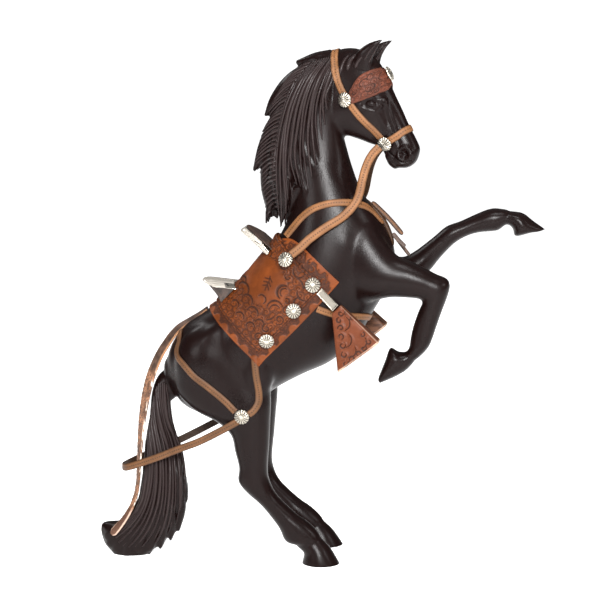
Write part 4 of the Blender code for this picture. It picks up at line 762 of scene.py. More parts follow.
# Lines that the carved strands run between, in side view from root to tip, front to back
MANE_LINES = (
    ((10.8, 376.8), (7.2, 363.8), (3.5, 353), (4.3, 342.1)),
    ((9.3, 380.4), (2, 365.3), (-2.4, 350.8), (-3.8, 336.2), (-2.3, 320.1), (-0.8, 309.2)),
    ((6.4, 380.4), (-3.1, 365.3), (-9, 349.3), (-12, 331.1), (-12.7, 312.8), (-9, 284.8)),
    ((2, 379.7), (-9.8, 363.8), (-16.4, 346.4), (-20.1, 327.4), (-22.3, 305.4), (-17.9, 287)),
    ((-3.9, 378.3), (-15.7, 360.9), (-23.1, 342), (-26.8, 320), (-27.6, 298), (-26.1, 275.8),
     (-27.6, 256.4)),
    ((-11.2, 376.1), (-22.3, 358), (-29.7, 336.1), (-34.2, 312.6), (-35.8, 286.8), (-33.6, 266.8)),
)
# The mane's ragged rear edge, in side view
MANE_EDGE = (
    (-18.8, 373.8), (-21.2, 369), (-28.2, 362.5), (-34, 353), (-40.4, 341.2), (-40.8, 333.9),
    (-46.1, 325.3), (-48.4, 311.9), (-52.2, 299.9), (-46.2, 293.2), (-46.2, 282), (-44, 270.7),
    (-42.5, 262.4),
)
TAIL_LINES = (
    ((-119.3, 133.2), (-118.7, 121.5), (-117.7, 109.9), (-114.3, 96.7), (-109, 84.1), (-105.6, 68.6),
     (-104.2, 52.9), (-105.5, 43.4)),
    ((-122.4, 135.4), (-121.8, 121.4), (-119.7, 105.9), (-113.9, 91.8), (-110.2, 76.3), (-108, 60.7),
     (-108.2, 41), (-111.5, 25.1), (-115.6, 15.4)),
    ((-125.5, 133.8), (-124.9, 121.4), (-122, 105.8), (-116.3, 87.8), (-113.4, 69.9), (-112.8, 51.1),
     (-114.6, 32.9), (-120.3, 16.8), (-128.2, 5.4)),
    ((-127.9, 129.1), (-127.3, 117.4), (-124.4, 101.9), (-119.4, 85.4), (-117.3, 66.6), (-117.5, 47),
     (-120.9, 28.7), (-128.9, 12.5), (-138.5, 3.4)),
    ((-130, 119.7), (-129, 107.2), (-126.1, 91.6), (-122.7, 75.9), (-122.1, 58.6), (-123.9, 42),
     (-129.5, 26), (-138.4, 13), (-148.8, 3)),
    ((-131.7, 109.5), (-130.7, 96.2), (-127.2, 82), (-126.7, 64.8), (-128.5, 49), (-133.4, 33.8),
     (-141.4, 20.8), (-151, 10.1), (-159, 5)),
    ((-132.7, 96.2), (-130.7, 83.5), (-130.2, 67.8), (-131.9, 52), (-136.8, 37.6), (-145.3, 26.3),
     (-155.6, 17.1), (-162.8, 11.3)),
    ((-132.7, 81.9), (-132.5, 67.7), (-133.9, 53.5), (-138, 40.4), (-145.4, 29.6), (-154.4, 22.4),
     (-162, 16.6)),
    ((-133.7, 66.1), (-134.9, 53.5), (-138, 42.2), (-145.4, 32), (-154.2, 25), (-162.6, 20.4)),
)
# How far the fused body is eased, and then the skin with its locks, hooves and face
BODY_EASE = 6.6
FEATURE_EASE = 1.9

# Carved lines of the face in the head's own side view: half width, height (cut in where it is below
# nought) and the line, from the eye down to the mouth and the cheek
FACE_LINES = (
    (1.2, 0.55, ((28.4, 345.6), (31.7, 349.7), (36.4, 351.1), (41.4, 349.3), (44.4, 344.9))),
    (1, 0.5, ((28.4, 345.6), (32.4, 342.7), (37.1, 341.3), (41.5, 342), (44.4, 344.9))),
    (3.6, -0.9, ((32.5, 346.4), (36.6, 346.9), (40.6, 345.6))), (2, 0.9, ((35.4, 346.2), (38, 345.9))),
    (1.4, 0.9, ((46.1, 350), (48.3, 342.7), (51.3, 334), (54.3, 326))),
    (1.6, -0.6, ((44.1, 346.4), (46.4, 340.6), (48.6, 333.3), (51.6, 326.7))),
    (1.6, 0.8, ((41.3, 339.8), (44.2, 333.3), (47.2, 326.7), (49.4, 321.6))),
    (1.3, 1.1, ((56, 310.6), (57.3, 313.8), (60.6, 315), (63.9, 313.6), (65.2, 310.3),
         (63.9, 306.9), (60.7, 305.6), (57.3, 306.9), (56, 309.8))),
    (2.7, -3.4, ((60.4, 310.8), (61.4, 309.8))),
    (0.9, -1.2, ((65.2, 304.7), (60.1, 303.6), (55, 305.4), (50.6, 309), (46.9, 313.4))),
    (1.3, 0.7, ((52.8, 301.7), (49.1, 305.4), (45.4, 309.7), (42.5, 313.4))),
    (1.3, -0.7, ((55.2, 320.9), (56.7, 316.5), (55.3, 312.1), (52.4, 308.4))),
    (2.2, -0.7, ((25.3, 333.2), (30.7, 328.9), (36.1, 324.5), (41.1, 319.4))),
)
EYE = (36.6, 346.6)
# The face lies ahead of this x, and between these heights
FACE_REAR = 22
FACE_FOOT = 296
FACE_TOP = 374
# Ridges on the ears and locks before them, in side view
NEAR_EAR_LINES = (
    ((34.6, 376), (37.8, 382.4), (42.4, 390.2)), ((31.6, 378), (35.6, 384.6), (41.2, 390.8)),
)
FAR_EAR_LINES = (
    ((36.5, 375.8), (41, 382.4), (46, 390)), ((38.4, 376.4), (42.2, 382.6), (46.2, 389.4)),
    ((34.5, 378), (39.5, 384.6), (45.2, 391)),
)
FORELOCK_LINES = (
    ((13, 368), (15.6, 376.4), (20, 382.2)), ((18.8, 371), (21, 377.6), (25, 382.4)),
    ((24.5, 372.4), (27, 377.6), (30.6, 381)),
)


def side_height(surface, side):
    """y_of(x, z) for hair that lies on a skin, on the side -1 (near) or +1 (far)."""

    def y_of(x, z):
        places = np.stack([x, 0 * x, z], axis=-1)
        return side * filled(surface.heights(places, (0, side, 0)))

    return y_of


def lock(path, y_of, thick, around=12, per_span=5):
    """Tapered lock along a side-view path. Its Y is y_of(x, z) and it is thick times as deep as wide."""
    p = spline(path, per_span)
    x, z, half = p[:, 0], p[:, 1], np.maximum(p[:, 2], 0.4)
    line = np.stack([x, y_of(x, z), z], axis=1)
    flat = line * (1, 0, 1)
    along = unit(np.gradient(flat, axis=0))
    across = np.stack([-along[:, 2], 0 * x, along[:, 0]], axis=1)
    angle = np.linspace(0, 2 * math.pi, around, endpoint=False)[:, None]
    ring = across[:, None] * np.cos(angle) + np.array([0, thick, 0]) * np.sin(angle)
    return tube(line[:, None] + ring * half[:, None, None])


def far_hind(shell):
    """The near hind leg or hoof mirrored, which then stands a little differently."""
    heights, ahead, up = np.array(FAR_HIND_SHIFT[::-1]).T
    moved = shell.points * (1, -1, 1)
    z = moved[:, 2].copy()
    moved[:, 0] += np.interp(z, heights, ahead)
    moved[:, 2] += np.interp(z, heights, up)
    return shell.moved(moved)


def body_shells():
    """Torso, neck, legs and head, as overlapping lofts, with ovals for haunches, shoulders and cheeks."""
    hind = loft(HIND_LEG, swell=SWELL)
    haunch, shoulder = oval((-84, -17, 150), (27, 17, 33)), oval((14, -15, 236), (20, 14, 34))
    halves = [haunch, shoulder, oval((-46, -24, 148), (12, 10, 20))]
    body = [loft(TORSO, around=48, squareness=0.95, swell=SWELL), hind, far_hind(hind)]
    body += halves + [half.mirrored() for half in halves]
    body += [loft(NEAR_FORELEG, swell=SWELL), loft(FAR_FORELEG, swell=SWELL)]
    cheeks = [oval((15, y, 345), (16, 6, 16)) for y in (-7, 7)]
    head = [loft(HEAD, squareness=0.9, swell=SWELL), *cheeks]
    return body + [shell.moved(turned(shell.points)) for shell in head]


def ears():
    """The near and the far ear, in the head's own place."""
    ear = loft(EAR, around=20)
    return ear, ear.moved(ear.points * (1, -1, 1) + (FAR_EAR_AHEAD, 0, 0))


def face_shells():
    """Ears, brows, cheek ridges, nostrils and lower lip, in the head's own place."""
    made = [*ears(), loft(LOWER_LIP, around=20)]
    for side in (-1, 1):
        made.append(oval((39.5, side * 10.0, 345.5), (6.2, 2.9, 3.6), -18))
        made.append(oval((40.5, side * 9.2, 350), (7.0, 3.4, 2.8), -12))
        made.append(oval((62.5, side * 6.6, 309.5), (4.6, 3.0, 4.6)))
        made.append(oval((48, side * 7.4, 332), (2.0, 1.7, 13), 32))
    return made


def tail_middle(x, z):
    """Y of the tail's middle, which swings to the near side towards the ground."""
    return np.interp(z, [0, 60, 150], [-18, -10, 0])


def carved_skin(grid):
    """The whole horse as one skin, without its fine strands."""
    smooth = fused(body_shells(), grid, BODY_EASE)
    mane, tail = loft(MANE, squareness=0.9), loft(TAIL)
    under_mane, under_tail = Rest(mane, smooth), Rest(tail)
    hair = [mane, tail]
    for side in (-1, 1):
        for paths, under in ((MANE_LOCKS, under_mane), (TAIL_LOCKS, under_tail)):
            hair += [lock(path, side_height(under, side), 0.55) for path in paths]
    hair += [lock(path, lambda x, z: 0 * x, 1.5) for path in MANE_BACK_LOCKS]
    hair += [lock(path, tail_middle, 1.6) for path in TAIL_LOCKS]
    near_hoof = loft(HIND_HOOF, cap=0.05)
    hooves = [near_hoof, far_hind(near_hoof), loft(NEAR_FORE_HOOF), loft(FAR_FORE_HOOF)]
    face = [shell.moved(turned(shell.points)) for shell in face_shells()]
    return fused([smooth, *hair, *hooves, *face], grid, FEATURE_EASE)


def strand_lines(guides, per_gap, count, waver):
    """Side-view lines spread evenly between neighbouring guide lines, each a little off true."""
    guides = np.array([curve(g, count) for g in guides])
    gaps = len(guides) - 1
    at = np.linspace(0, gaps, gaps * per_gap + 1)
    low = np.minimum(at.astype(int), gaps - 1)
    share = (at - low)[:, None, None]
    lines = guides[low] * (1 - share) + guides[low + 1] * share
    k = np.arange(len(lines))[:, None]
    t = np.linspace(0, 1, count)[None]
    lines[..., 0] += waver * np.sin(5 * t + 2.4 * k) * np.sin(math.pi * t)
    return lines


def strands(lines, surface, side, half, lift, past_edge=1.0):
    """Rods of hair laid on a skin along side-view lines, fullest a sixth of the way down.

    Where a line runs past the edge of the skin, its height falls to the share past_edge.
    """
    count = lines.shape[1]
    places = np.stack([lines[..., 0], 0 * lines[..., 0], lines[..., 1]], axis=-1)
    found = surface.heights(places, (0, side, 0))
    heights = np.array([filled(h) for h in found]) * np.where(np.isnan(found), past_edge, 1.0)
    heights = eased(heights, 3, axis=1)
    k = np.arange(len(lines))
    places[..., 1] = side * (heights + lift + 0.2 * half * np.sin(2.9 * k)[:, None])
    t = np.linspace(0, 1, count)
    taper = np.minimum(1, 0.35 + 4 * t) * np.sqrt(np.clip(1.02 - t, 0, 1)) ** 0.8
    halves = half * (1 + 0.24 * np.sin(1.7 * k))[:, None] * taper
    return rods(places, halves, 0.95, np.array([0.0, side, 0.0]))


def hatch_lines(count, places):
    """Short side-view lines from the long strands back and down to the mane's ragged edge."""
    fifth = evenly(spline(MANE_LINES[4], 6)[:30], count)
    sixth = curve(MANE_LINES[5], count)
    inner = (fifth * 0.35 + sixth * 0.65)[:, None]
    outer = evenly(np.array(MANE_EDGE, float), count + 4)[4:, None]
    t = np.linspace(0, 1, places)[None, :, None]
    lines = inner * (1 - t) + outer * t
    lines[..., 1] += 2.2 * np.sin(math.pi * t[..., 0])
    return lines


def recut(shell, work):
    """The skin in triangles, after work has been done on its faces and edges."""
    mesh, whole = mesh_of("recut", shell), bmesh.new()
    whole.from_mesh(mesh)
    bpy.data.meshes.remove(mesh)
    whole.verts.index_update()
    work(whole)
    bmesh.ops.triangulate(whole, faces=whole.faces[:])
    whole.verts.index_update()
    points = [v.co[:] for v in whole.verts]
    tris = [[v.index for v in f.verts] for f in whole.faces]
    whole.free()
    return Shell(points, (), tris)


def cut_flat(shell):
    """The skin cut off flat at the ground."""

    def work(whole):
        parts = whole.verts[:] + whole.edges[:] + whole.faces[:]
        ground = {"plane_co": (0, 0, GROUND), "plane_no": (0, 0, 1)}
        cut = bmesh.ops.bisect_plane(whole, geom=parts, clear_inner=True, **ground)
        rim = [e for e in cut["geom_cut"] if isinstance(e, bmesh.types.BMEdge)]
        bmesh.ops.holes_fill(whole, edges=rim, sides=0)

    return recut(shell, work)


def finer(shell, chosen, cuts):
    """The skin with more, smaller faces at the chosen points."""

    def work(whole):
        split = [e for e in whole.edges if chosen[e.verts[0].index] and chosen[e.verts[1].index]]
        bmesh.ops.subdivide_edges(whole, edges=split, cuts=cuts, use_grid_fill=True)

    return recut(shell, work)


def smoothed(shell, share, times):
    """The skin with each point drawn towards the middle of its neighbours by its share, times over."""
    first, second = np.vstack([shell.tris[:, [k, (k + 1) % 3]] for k in range(3)]).T
    points = shell.points.copy()
    around = np.maximum(np.bincount(first, minlength=len(points)), 1)[:, None]
    for _ in range(times):
        total = [np.bincount(first, points[second, axis], len(points)) for axis in range(3)]
        points += (np.stack(total, axis=1) / around - points) * share[:, None]
    return shell.moved(points)


def in_head(points):
    """Points in the head's own place, before it was turned."""
    a = math.radians(HEAD_TURN_DEG)
    x = points[:, 0] - POLL[0]
    along = x * math.cos(a) - points[:, 1] * math.sin(a)
    aside = x * math.sin(a) + points[:, 1] * math.cos(a)
    unshifted = along / (1 + HEAD_SHIFT / HEAD_SHIFT_OVER)
    along = np.where(along > HEAD_SHIFT_OVER + HEAD_SHIFT, along - HEAD_SHIFT, unshifted)
    return np.stack([along + POLL[0], aside, points[:, 2]], axis=1)


def on_face(own):
    """Which points, in the head's own place, belong to the face."""
    return (own[:, 0] > FACE_REAR) & (own[:, 2] > FACE_FOOT) & (own[:, 2] < FACE_TOP)


def faced(skin):
    """The skin with the face's carved lines in it.

    Each line moves the skin out by its height times exp(-(d / its width)^2) at the distance d.
    """
    skin = finer(skin, on_face(in_head(skin.points)), 2)
    own = in_head(skin.points)
    face = on_face(own)
    share = 0.5 * step(own[:, 0], FACE_REAR, FACE_REAR + 6) * step(own[:, 2], FACE_TOP, FACE_TOP - 6)
    share *= own[:, 2] > FACE_FOOT
    ear_share = 0.3 * step(own[:, 0], 24, 30) * step(own[:, 2], FACE_TOP, FACE_TOP + 6)
    skin = smoothed(smoothed(skin, share, 6), ear_share, 2)
    own = in_head(skin.points[face])
    rise = np.zeros(len(own))
    for width, height, line in FACE_LINES:
        rise += height * bell(distance_to(own[:, [0, 2]], curve(line, 30)), width)
    rise *= step(np.abs(own[:, 1]), 1.2, 3.0)
    moved = skin.points.copy()
    moved[face] += normals_of(skin)[face] * rise[:, None]
    return smoothed(skin.moved(moved), share * 0.5, 1)


def eyeball(surface, side):
    """Ball set into the skin at the eye."""
    socket = turned(np.array([EYE[0], 0, EYE[1]]))
    way = unit(turned(np.array([EYE[0], side, EYE[1]])) - socket)
    ball = oval((0, 0, 0), (4.4, 2.6, 2.7), -12)
    return ball.moved(ball.points + socket + way * (surface.height(socket, way) - 1.2))


def carved_horse(grid, triangles):
    """The horse's skin, thinned to a number of triangles, and its strands of hair."""
    skin = carved_skin(grid)
    ratio = min(1.0, triangles / (2 * len(skin.quads)))
    skin = worked(skin, ("DECIMATE", {"ratio": ratio}), ("TRIANGULATE", {}))
    skin = faced(cut_flat(skin))
    surface = Rest(skin)
    near_ear, far_ear = (Rest(ear.moved(turned(ear.points))) for ear in ears())
    near_ridges = np.array([curve(line, 14, 5) for line in NEAR_EAR_LINES])
    far_ridges = np.array([curve(line, 14, 5) for line in FAR_EAR_LINES])
    forelock = strand_lines(FORELOCK_LINES, per_gap=1, count=12, waver=0.2)
    mane = strand_lines(MANE_LINES, per_gap=3, count=26, waver=0.5)
    tail = strand_lines(TAIL_LINES, per_gap=2, count=26, waver=0.4)[:, :24]
    parts = [skin]
    for side in (-1, 1):
        parts += [
            eyeball(surface, side),
            strands(forelock, surface, side, half=2.0, lift=-0.5),
            strands(near_ridges, near_ear, side, half=0.7, lift=-0.1),
            strands(far_ridges, far_ear, side, half=0.7, lift=-0.1),
            strands(mane, surface, side, half=1.7, lift=0.2),
            strands(hatch_lines(34, 16), surface, side, half=1.5, lift=0.1, past_edge=0.15),
            strands(tail[3 * (side > 0) :], surface, side, half=1.8, lift=0.1),
        ]
    return parts


def ribbon(base, outs, thick, **marks):
    """Closed sheet over a grid of places, rows along it and columns across.

    The lower face is the grid and the upper face is the grid moved out by thick, which is one
    number or a grid of them. Between them at each side runs a line near half way up, a little further
    out. Marks are grids of numbers for the upper face, and are nought below. The mark across runs
    from -1 to 1, along is in drawing units, and under is one on the lower face.
    """
    shape = base.shape[:2]
    outs, thick = np.broadcast_to(outs, base.shape), np.broadcast_to(thick, shape)
    round_off = np.ones(shape[1])
    round_off[[0, -1]] = 0.78
    high = base + outs * (thick * round_off)[..., None]
    side = unit(base[:, -1] - base[:, 0])[:, None]
    bulge = np.minimum(0.3 * thick[:, :1], 0.25)[..., None]
    left = (base[:, :1] + outs[:, :1] * thick[:, :1, None] * 0.45) - side * bulge
    right = (base[:, -1:] + outs[:, -1:] * thick[:, -1:, None] * 0.45) + side * bulge
    rings = np.concatenate([base, right, high[:, ::-1], left], axis=1)
    plain = {"across": np.linspace(-1, 1, shape[1]), "along": lengths(base[:, shape[1] // 2])[:, None]}
    laid = {}
    for name, values in {**plain, **marks}.items():
        m = np.broadcast_to(values, shape)
        below = m if name in plain else np.zeros(shape)
        laid[name] = np.concatenate([below, m[:, -1:], m[:, ::-1], m[:, :1]], axis=1)
    laid["under"] = np.zeros(rings.shape[:2])
    laid["under"][:, : shape[1]] = 1
    return tube(rings, **laid)


def route(rows, count, head=False):
    """Places and ways of a route, run smoothly between its rows and evenly spaced, as seen 25 out.

    A route on the head is drawn in the head's own place, and turned with it.
    """
    line = spline(rows, 6)
    far = lengths(line[:, :3] + unit(line[:, 3:]) * 25)
    at = np.linspace(0, far[-1], count)
    line = np.stack([np.interp(at, far, line[:, k]) for k in range(6)], axis=1)
    places, ways = line[:, :3], unit(line[:, 3:])
    if head:
        places, tips = turned(places), turned(places + ways)
        ways = unit(tips - places)
    return places, ways


def square_to(places, ways):
    """The way across a strap and the way out of it, square to the line of its places."""
    along = unit(np.gradient(places, axis=0))
    across = unit(np.cross(ways, along))
    return across, unit(np.cross(along, across))


def sheet(places, across, half, columns):
    """Places of a strap, columns of them over its half width at each side of its middle line."""
    t = np.linspace(-1, 1, columns)
    return places[:, None] + across[:, None] * (np.reshape(half, (-1, 1)) * t)[..., None]


def laid_strap(rows, width, thick, count, head=False, reach=50.0, columns=5):
    """Strap that follows a route over the skins and bends across with them."""
    places, ways = route(rows, count, head)
    middle = places + ways * eased(filled(rest.heights(places, ways, reach)), 4)[:, None]
    base = sheet(middle, square_to(middle, ways)[0], width / 2, columns)
    drop = rest.heights(base, ways[:, None], 12.0)
    drop = np.where(np.isnan(drop), -0.4 * width * np.linspace(-1, 1, columns) ** 2, drop)
    drop = np.clip(drop, -0.3 * width, 0.3 * width)
    base = base + ways[:, None] * (eased_sheet(drop, 4, 1) + STRAP_CLEARANCE)[..., None]
    outs = unit(np.cross(np.gradient(base, axis=0), base[:, -1:] - base[:, :1]))
    outs *= np.sign(np.sum(outs * ways[:, None], axis=-1, keepdims=True))
    return ribbon(base, outs, thick)


def free_strap(places, ways, width, thick, columns=5):
    """Strap that hangs along given places."""
    across, outs = square_to(places, ways)
    return ribbon(sheet(places, across, np.asarray(width) / 2, columns), outs[:, None], thick)


def arc_line(u, v, radius, start, sweep, half, curl, steps=20):
    """Points of an arc whose radius falls by the share curl along it, and its half width there."""
    t = np.linspace(0, 1, steps)
    angle = np.radians(start + sweep * t)
    r = radius * (1 - curl * t)
    line = np.stack([u + r * np.cos(angle), v + r * np.sin(angle)], axis=1)
    return line, half * (0.35 + 0.65 * np.sin(math.pi * np.clip(t * 0.9 + 0.1, 0, 1)))


def strokes(u, v, lines):
    """How near each place (u, v) is to any line, in that line's half widths there."""
    places = np.stack([u.ravel(), v.ravel()], axis=1)
    return np.min([distance_to(places, *line) for line in lines], axis=0).reshape(u.shape)


def near_arcs(u, v, arcs):
    """How near each place (u, v) is to any of the arcs, in half widths."""
    return strokes(u, v, [arc_line(*arc) for arc in arcs])


def beside(near, width):
    """One on a carved line and at its edges, falling off smoothly over the width outside them."""
    return bell(np.maximum(near - 1.5, 0), width)


def curls(u, v, pitch):
    """One in the cut of small spirals set in staggered rows, and one on the ground between them.

    Round the middle of each cell the cut is where angle / turn + 2.6 r / pitch is near a whole number.
    """
    row = np.floor(v / (0.87 * pitch))
    across = u / pitch + 0.5 * (row % 2)
    column = np.floor(across)
    key = 12.9 * row + 7.7 * column
    x = across - column - 0.5 + 0.07 * np.sin(key * 1.3)
    y = v / (0.87 * pitch) - row - 0.5 + 0.07 * np.sin(key * 2.1)
    r = np.hypot(x, y)
    way = np.where(np.sin(key) > 0, 1.0, -1.0)
    turn = (way * np.arctan2(y, x) / (2 * math.pi) + 2.6 * r + np.sin(key * 3.7)) % 1.0
    line = step(np.abs(turn - 0.5), 0.17, 0.09) * step(r, 0.05, 0.12) * step(r, 0.46, 0.42)
    ground = step(r, 0.43, 0.47)
    return line, ground


def tongues(edge, along, pitch, reach):
    """One on half-round tongues that stand in from an edge, pitch apart, and on its rim."""
    beat = (along / pitch) % 1.0 - 0.5
    tip = reach * np.sqrt(np.clip(1 - (beat / 0.36) ** 2, 0, 1))
    return np.maximum(step(edge, 1.5, 1.1), step(edge, tip + 0.25, tip - 0.25) * (tip > 0.3))


def sheet_grid(rear, front, lowest, notch, along=150, around=261):
    """Places of leather laid over the barrel, with their way out, S, side-view height and way up its side.

    Its front edge is cut back at the top by notch / (1 + (angle / NOTCH_HALF_ANGLE)^6). The leather
    lies on the skin eased over some way, and over what stands above that.
    """
    steepest = math.atan2(BARREL_HALF, lowest)
    angle = np.linspace(-steepest, steepest, around)
    ways = np.cos(angle)[:, None] * OUT_DIR + np.sin(angle)[:, None] * np.array([0, 1, 0])
    edge = front - notch / (1 + (angle / NOTCH_HALF_ANGLE) ** 6)
    s = rear + (edge - rear)[None] * np.linspace(0, 1, along)[:, None]
    centres = BARREL + s[..., None] * BACK_DIR
    ways = np.broadcast_to(ways, centres.shape)
    heights = rest.heights(centres, ways)
    soft = eased_sheet(heights, 10, 10)
    over = np.maximum(heights - soft, 0)
    heights = soft + eased_sheet(over, 3, 3) + SHEET_CLEARANCE
    base = centres + ways * heights[..., None]
    run = np.linalg.norm(np.diff(base, axis=1), axis=2)
    up = np.concatenate([np.zeros((along, 1)), np.cumsum(run, axis=1)], axis=1)
    return base, ways, s, (base - BARREL) @ OUT_DIR, np.minimum(up, up[:, -1:] - up)


def saddle_pad():
    """Pad with tongues of bright leather along its border, and scrolls at its front and inside.

    The ground between them is cut down by the depth of the tooling and stippled.
    """
    base, outs, s, side, up = sheet_grid(PAD_REAR, PAD_FRONT, PAD_LOWEST, PAD_NOTCH)
    front = s[-1:] - s
    ends = np.minimum(s - PAD_REAR, front)
    edge = np.minimum(ends, up)
    along = np.where(up < ends, s, up)
    border = tongues(edge, along, TONGUE_PITCH, TONGUE_REACH)
    scrolls = curls(front, up, BORDER_CURL_PITCH)[0] * step(front, 13.0, 12.0)
    bright = np.maximum(border, np.where(front < up, scrolls, 0))
    near = near_arcs(s, side, PAD_ARCS)
    line = curls(s, up, PAD_CURL_PITCH)[0] * (edge > TONGUE_REACH)
    ground = 1 - np.maximum(bright * step(near, 0.9, 1.4), 0.35 * line)
    stipple = 0.12 * np.sin(5.2 * s + 1.1 * up) * np.sin(5.2 * up - 0.9 * s)
    return ribbon(base, outs, PAD_THICK + (stipple - TOOLING_DEPTH) * ground, hollow=ground * 0.9)


def saddle_seat():
    """Seat with a smooth middle, carved scrolls round it and a small sprig of shallow strokes."""
    base, outs, s, side, up = sheet_grid(SEAT_REAR, SEAT_FRONT, SEAT_LOWEST, 0.0)
    near = near_arcs(s, side, SEAT_ARCS)
    line, ground = curls(s, up, SEAT_CURL_PITCH)
    tooled = step(np.hypot((s - 3.0) / 15.0, (up - 38) / 24.0), 0.95, 1.15) * step(near, 1.6, 2.6)
    sprig = [(np.array(line) + SPRIG, np.full(len(line), 0.42)) for line in SPRIG_STROKES]
    cut = np.maximum(step(near, 1.5, 0.9), np.maximum(line, ground * 0.7) * tooled)
    shallow = step(strokes(s, side, sprig), 1.4, 0.8)
    edge = np.minimum(np.minimum(s - SEAT_REAR, s[-1:] - s), up)
    relief = 0.35 * beside(near, 3.0) - TOOLING_DEPTH * cut - 0.3 * shallow - 0.5 * step(edge, 1.3, 0.6)
    hollow = np.maximum(np.maximum(cut, shallow), step(np.abs(edge - 1.5), 0.5, 0.2))
    ruddy = np.maximum(beside(near, 4.0) * 0.7, tooled * 0.6)
    return ribbon(base, outs, SEAT_THICK + relief, hollow=hollow, ruddy=ruddy)


def plate_frame(s, lean_deg):
    """Foot of a plate across the back, the way it rises and the way its front faces."""
    lean = math.radians(lean_deg)
    rise = math.cos(lean) * OUT_DIR + math.sin(lean) * BACK_DIR
    front = math.cos(lean) * BACK_DIR - math.sin(lean) * OUT_DIR
    return BARREL + s * BACK_DIR, rise, front


def plate_top(crown, tall, t):
    """How far out a plate's rounded top lies, t from -1 to 1 across it, for a saddle at crown."""
    return crown + tall * (1 - 0.6 * np.abs(t) ** 3)


def arch_plate(s, lean_deg, tall, half, curl, thick, offset, thin=0.0, rows=81, floors=41):
    """Round-topped plate across the back, its ends curled forward.

    It stands ahead of its middle line by curl times t^2 at its top, where t runs from the middle to
    an end. It is thinned towards its top edge by the share thin, and its ends are rounded over.
    """
    middle, rise, front = plate_frame(s, lean_deg)
    t = np.sin(np.linspace(-math.pi / 2, math.pi / 2, rows))[:, None]
    foot_places = middle + half * t * np.array([0, 1, 0])
    ends = [rest.heights(foot_places + front * d, OUT_DIR) for d in (offset, offset + thick)]
    foot = np.max(ends, axis=0)[:, None] + 0.35
    top = plate_top(rest.height(middle, OUT_DIR), tall, t)
    share = np.linspace(0, 1, floors)
    high = (top - foot) * share
    ahead = curl * t**2 * share + offset
    body = thick * (0.5 + 0.5 * np.sqrt(np.clip(1 - share**8, 0, 1))) * (1 - thin * share)
    rounding = np.sqrt(1 - 0.97 * np.clip((np.abs(t) - 0.88) / 0.12, 0, 1) ** 2)
    ahead = ahead + (1 - rounding) * body / 2
    base = (foot_places + OUT_DIR * foot)[:, None] + rise * high[..., None] + front * ahead[..., None]
    end = step(np.abs(t), 0.6, 0.66)
    rim = step(np.abs(t), 0.93, 0.96) * (t > 0)
    seam = np.maximum(bell(high - 7.6, 0.6) * end, rim)
    return ribbon(base, front, rounding * body, foot=step(high, 7.2, 6.8) * end, seam=seam)


def cantle_block(rows=41):
    """Leather block that props the cantle plate from behind, three-cornered in side view."""
    middle, rise, front = plate_frame(CANTLE_S, CANTLE_LEAN_DEG)
    t = np.linspace(-1, 1, rows)
    aside = np.outer(CANTLE_HALF * 0.94 * t, [0, 1, 0])
    behind = middle + aside - front * (PLATE_THICK / 2 + 0.5)
    rear = BARREL + CANTLE_WEDGE_REAR * BACK_DIR + aside
    foot = rest.heights(behind - front * 0.5, OUT_DIR) + 1.2
    tall = (plate_top(rest.height(middle, OUT_DIR), CANTLE_TALL, t) - foot) * CANTLE_WEDGE_UP
    low = behind + OUT_DIR * foot[:, None]
    back = rear + OUT_DIR * (rest.heights(rear, OUT_DIR) + 0.5)[:, None]
    corners = np.stack([low, low + rise * tall[:, None], back], axis=1)
    share = np.linspace(0, 1, 8, endpoint=False)[None, :, None]
    sides = [corners[:, k, None] * (1 - share) + corners[:, (k + 1) % 3, None] * share for k in range(3)]
    rings = np.concatenate(sides, axis=1)
    centre = rings.mean(axis=1, keepdims=True)
    return tube(centre + (rings - centre) * (1 + 0.015 * np.sin(9 * np.arange(24))[None, :, None]))


def button_place(node):
    """Middle of a packed button's flat back, the way it faces, its radius and its height."""
    points = np.array([v.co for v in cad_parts[node].data.vertices])
    points = (points - ORIGIN) / UNIT
    middle = (points.min(axis=0) + points.max(axis=0)) / 2
    facing = np.linalg.svd(points - points.mean(axis=0))[2][2]
    high = (points - middle) @ facing
    across = np.linalg.norm(points - middle - np.outer(high, facing), axis=1)
    rim = across > 0.85 * across.max()
    if high[rim].mean() > high.mean():
        facing, high = -facing, -high
    centre = points[rim].mean(axis=0)
    centre += facing * (high.min() - (centre - middle) @ facing)
    return centre, facing, across.max(), high.max() - high.min()


def concho(node, petals=15, around=180, rows=24):
    """Domed button with a fluted rim.

    Its height is sqrt(1 - 0.9 r^2) of the full height, less slots between the petals that deepen
    outwards, and its rim swells and shrinks with the petals.
    """
    centre, facing, radius, height = button_place(node)
    side = unit(np.cross(facing, (0.31, 0.0, 0.95)))
    up = np.cross(facing, side)
    angle = np.linspace(0, 2 * math.pi, around, endpoint=False)
    petal = 0.5 + 0.5 * np.cos(petals * angle)
    r = np.linspace(0.02, 1, rows)[:, None]
    slot = (1 - petal) ** 1.8 * step(r, 0.12, 0.4)
    level = np.sqrt(1 - 0.9 * r**2) - 0.2 * slot * step(r, 1.04, 0.8)
    reach = r * radius * (1 - 0.06 * (1 - petal) * step(r, 0.7, 1.0))
    rings = reach[..., None] * (np.cos(angle)[:, None] * side + np.sin(angle)[:, None] * up)
    rings = centre + rings + facing * (level * height)[..., None]
    foot = rings[-1:] - facing * (level[-1:] * height)[..., None]
    back = centre + (foot - centre) * 0.3
    dark = (1 - petal) ** 3 * step(r, 0.14, 0.36) * step(r, 1.02, 0.9)
    return tube(np.concatenate([rings, foot, back]), hollow=np.vstack([dark, np.zeros((2, around))]))


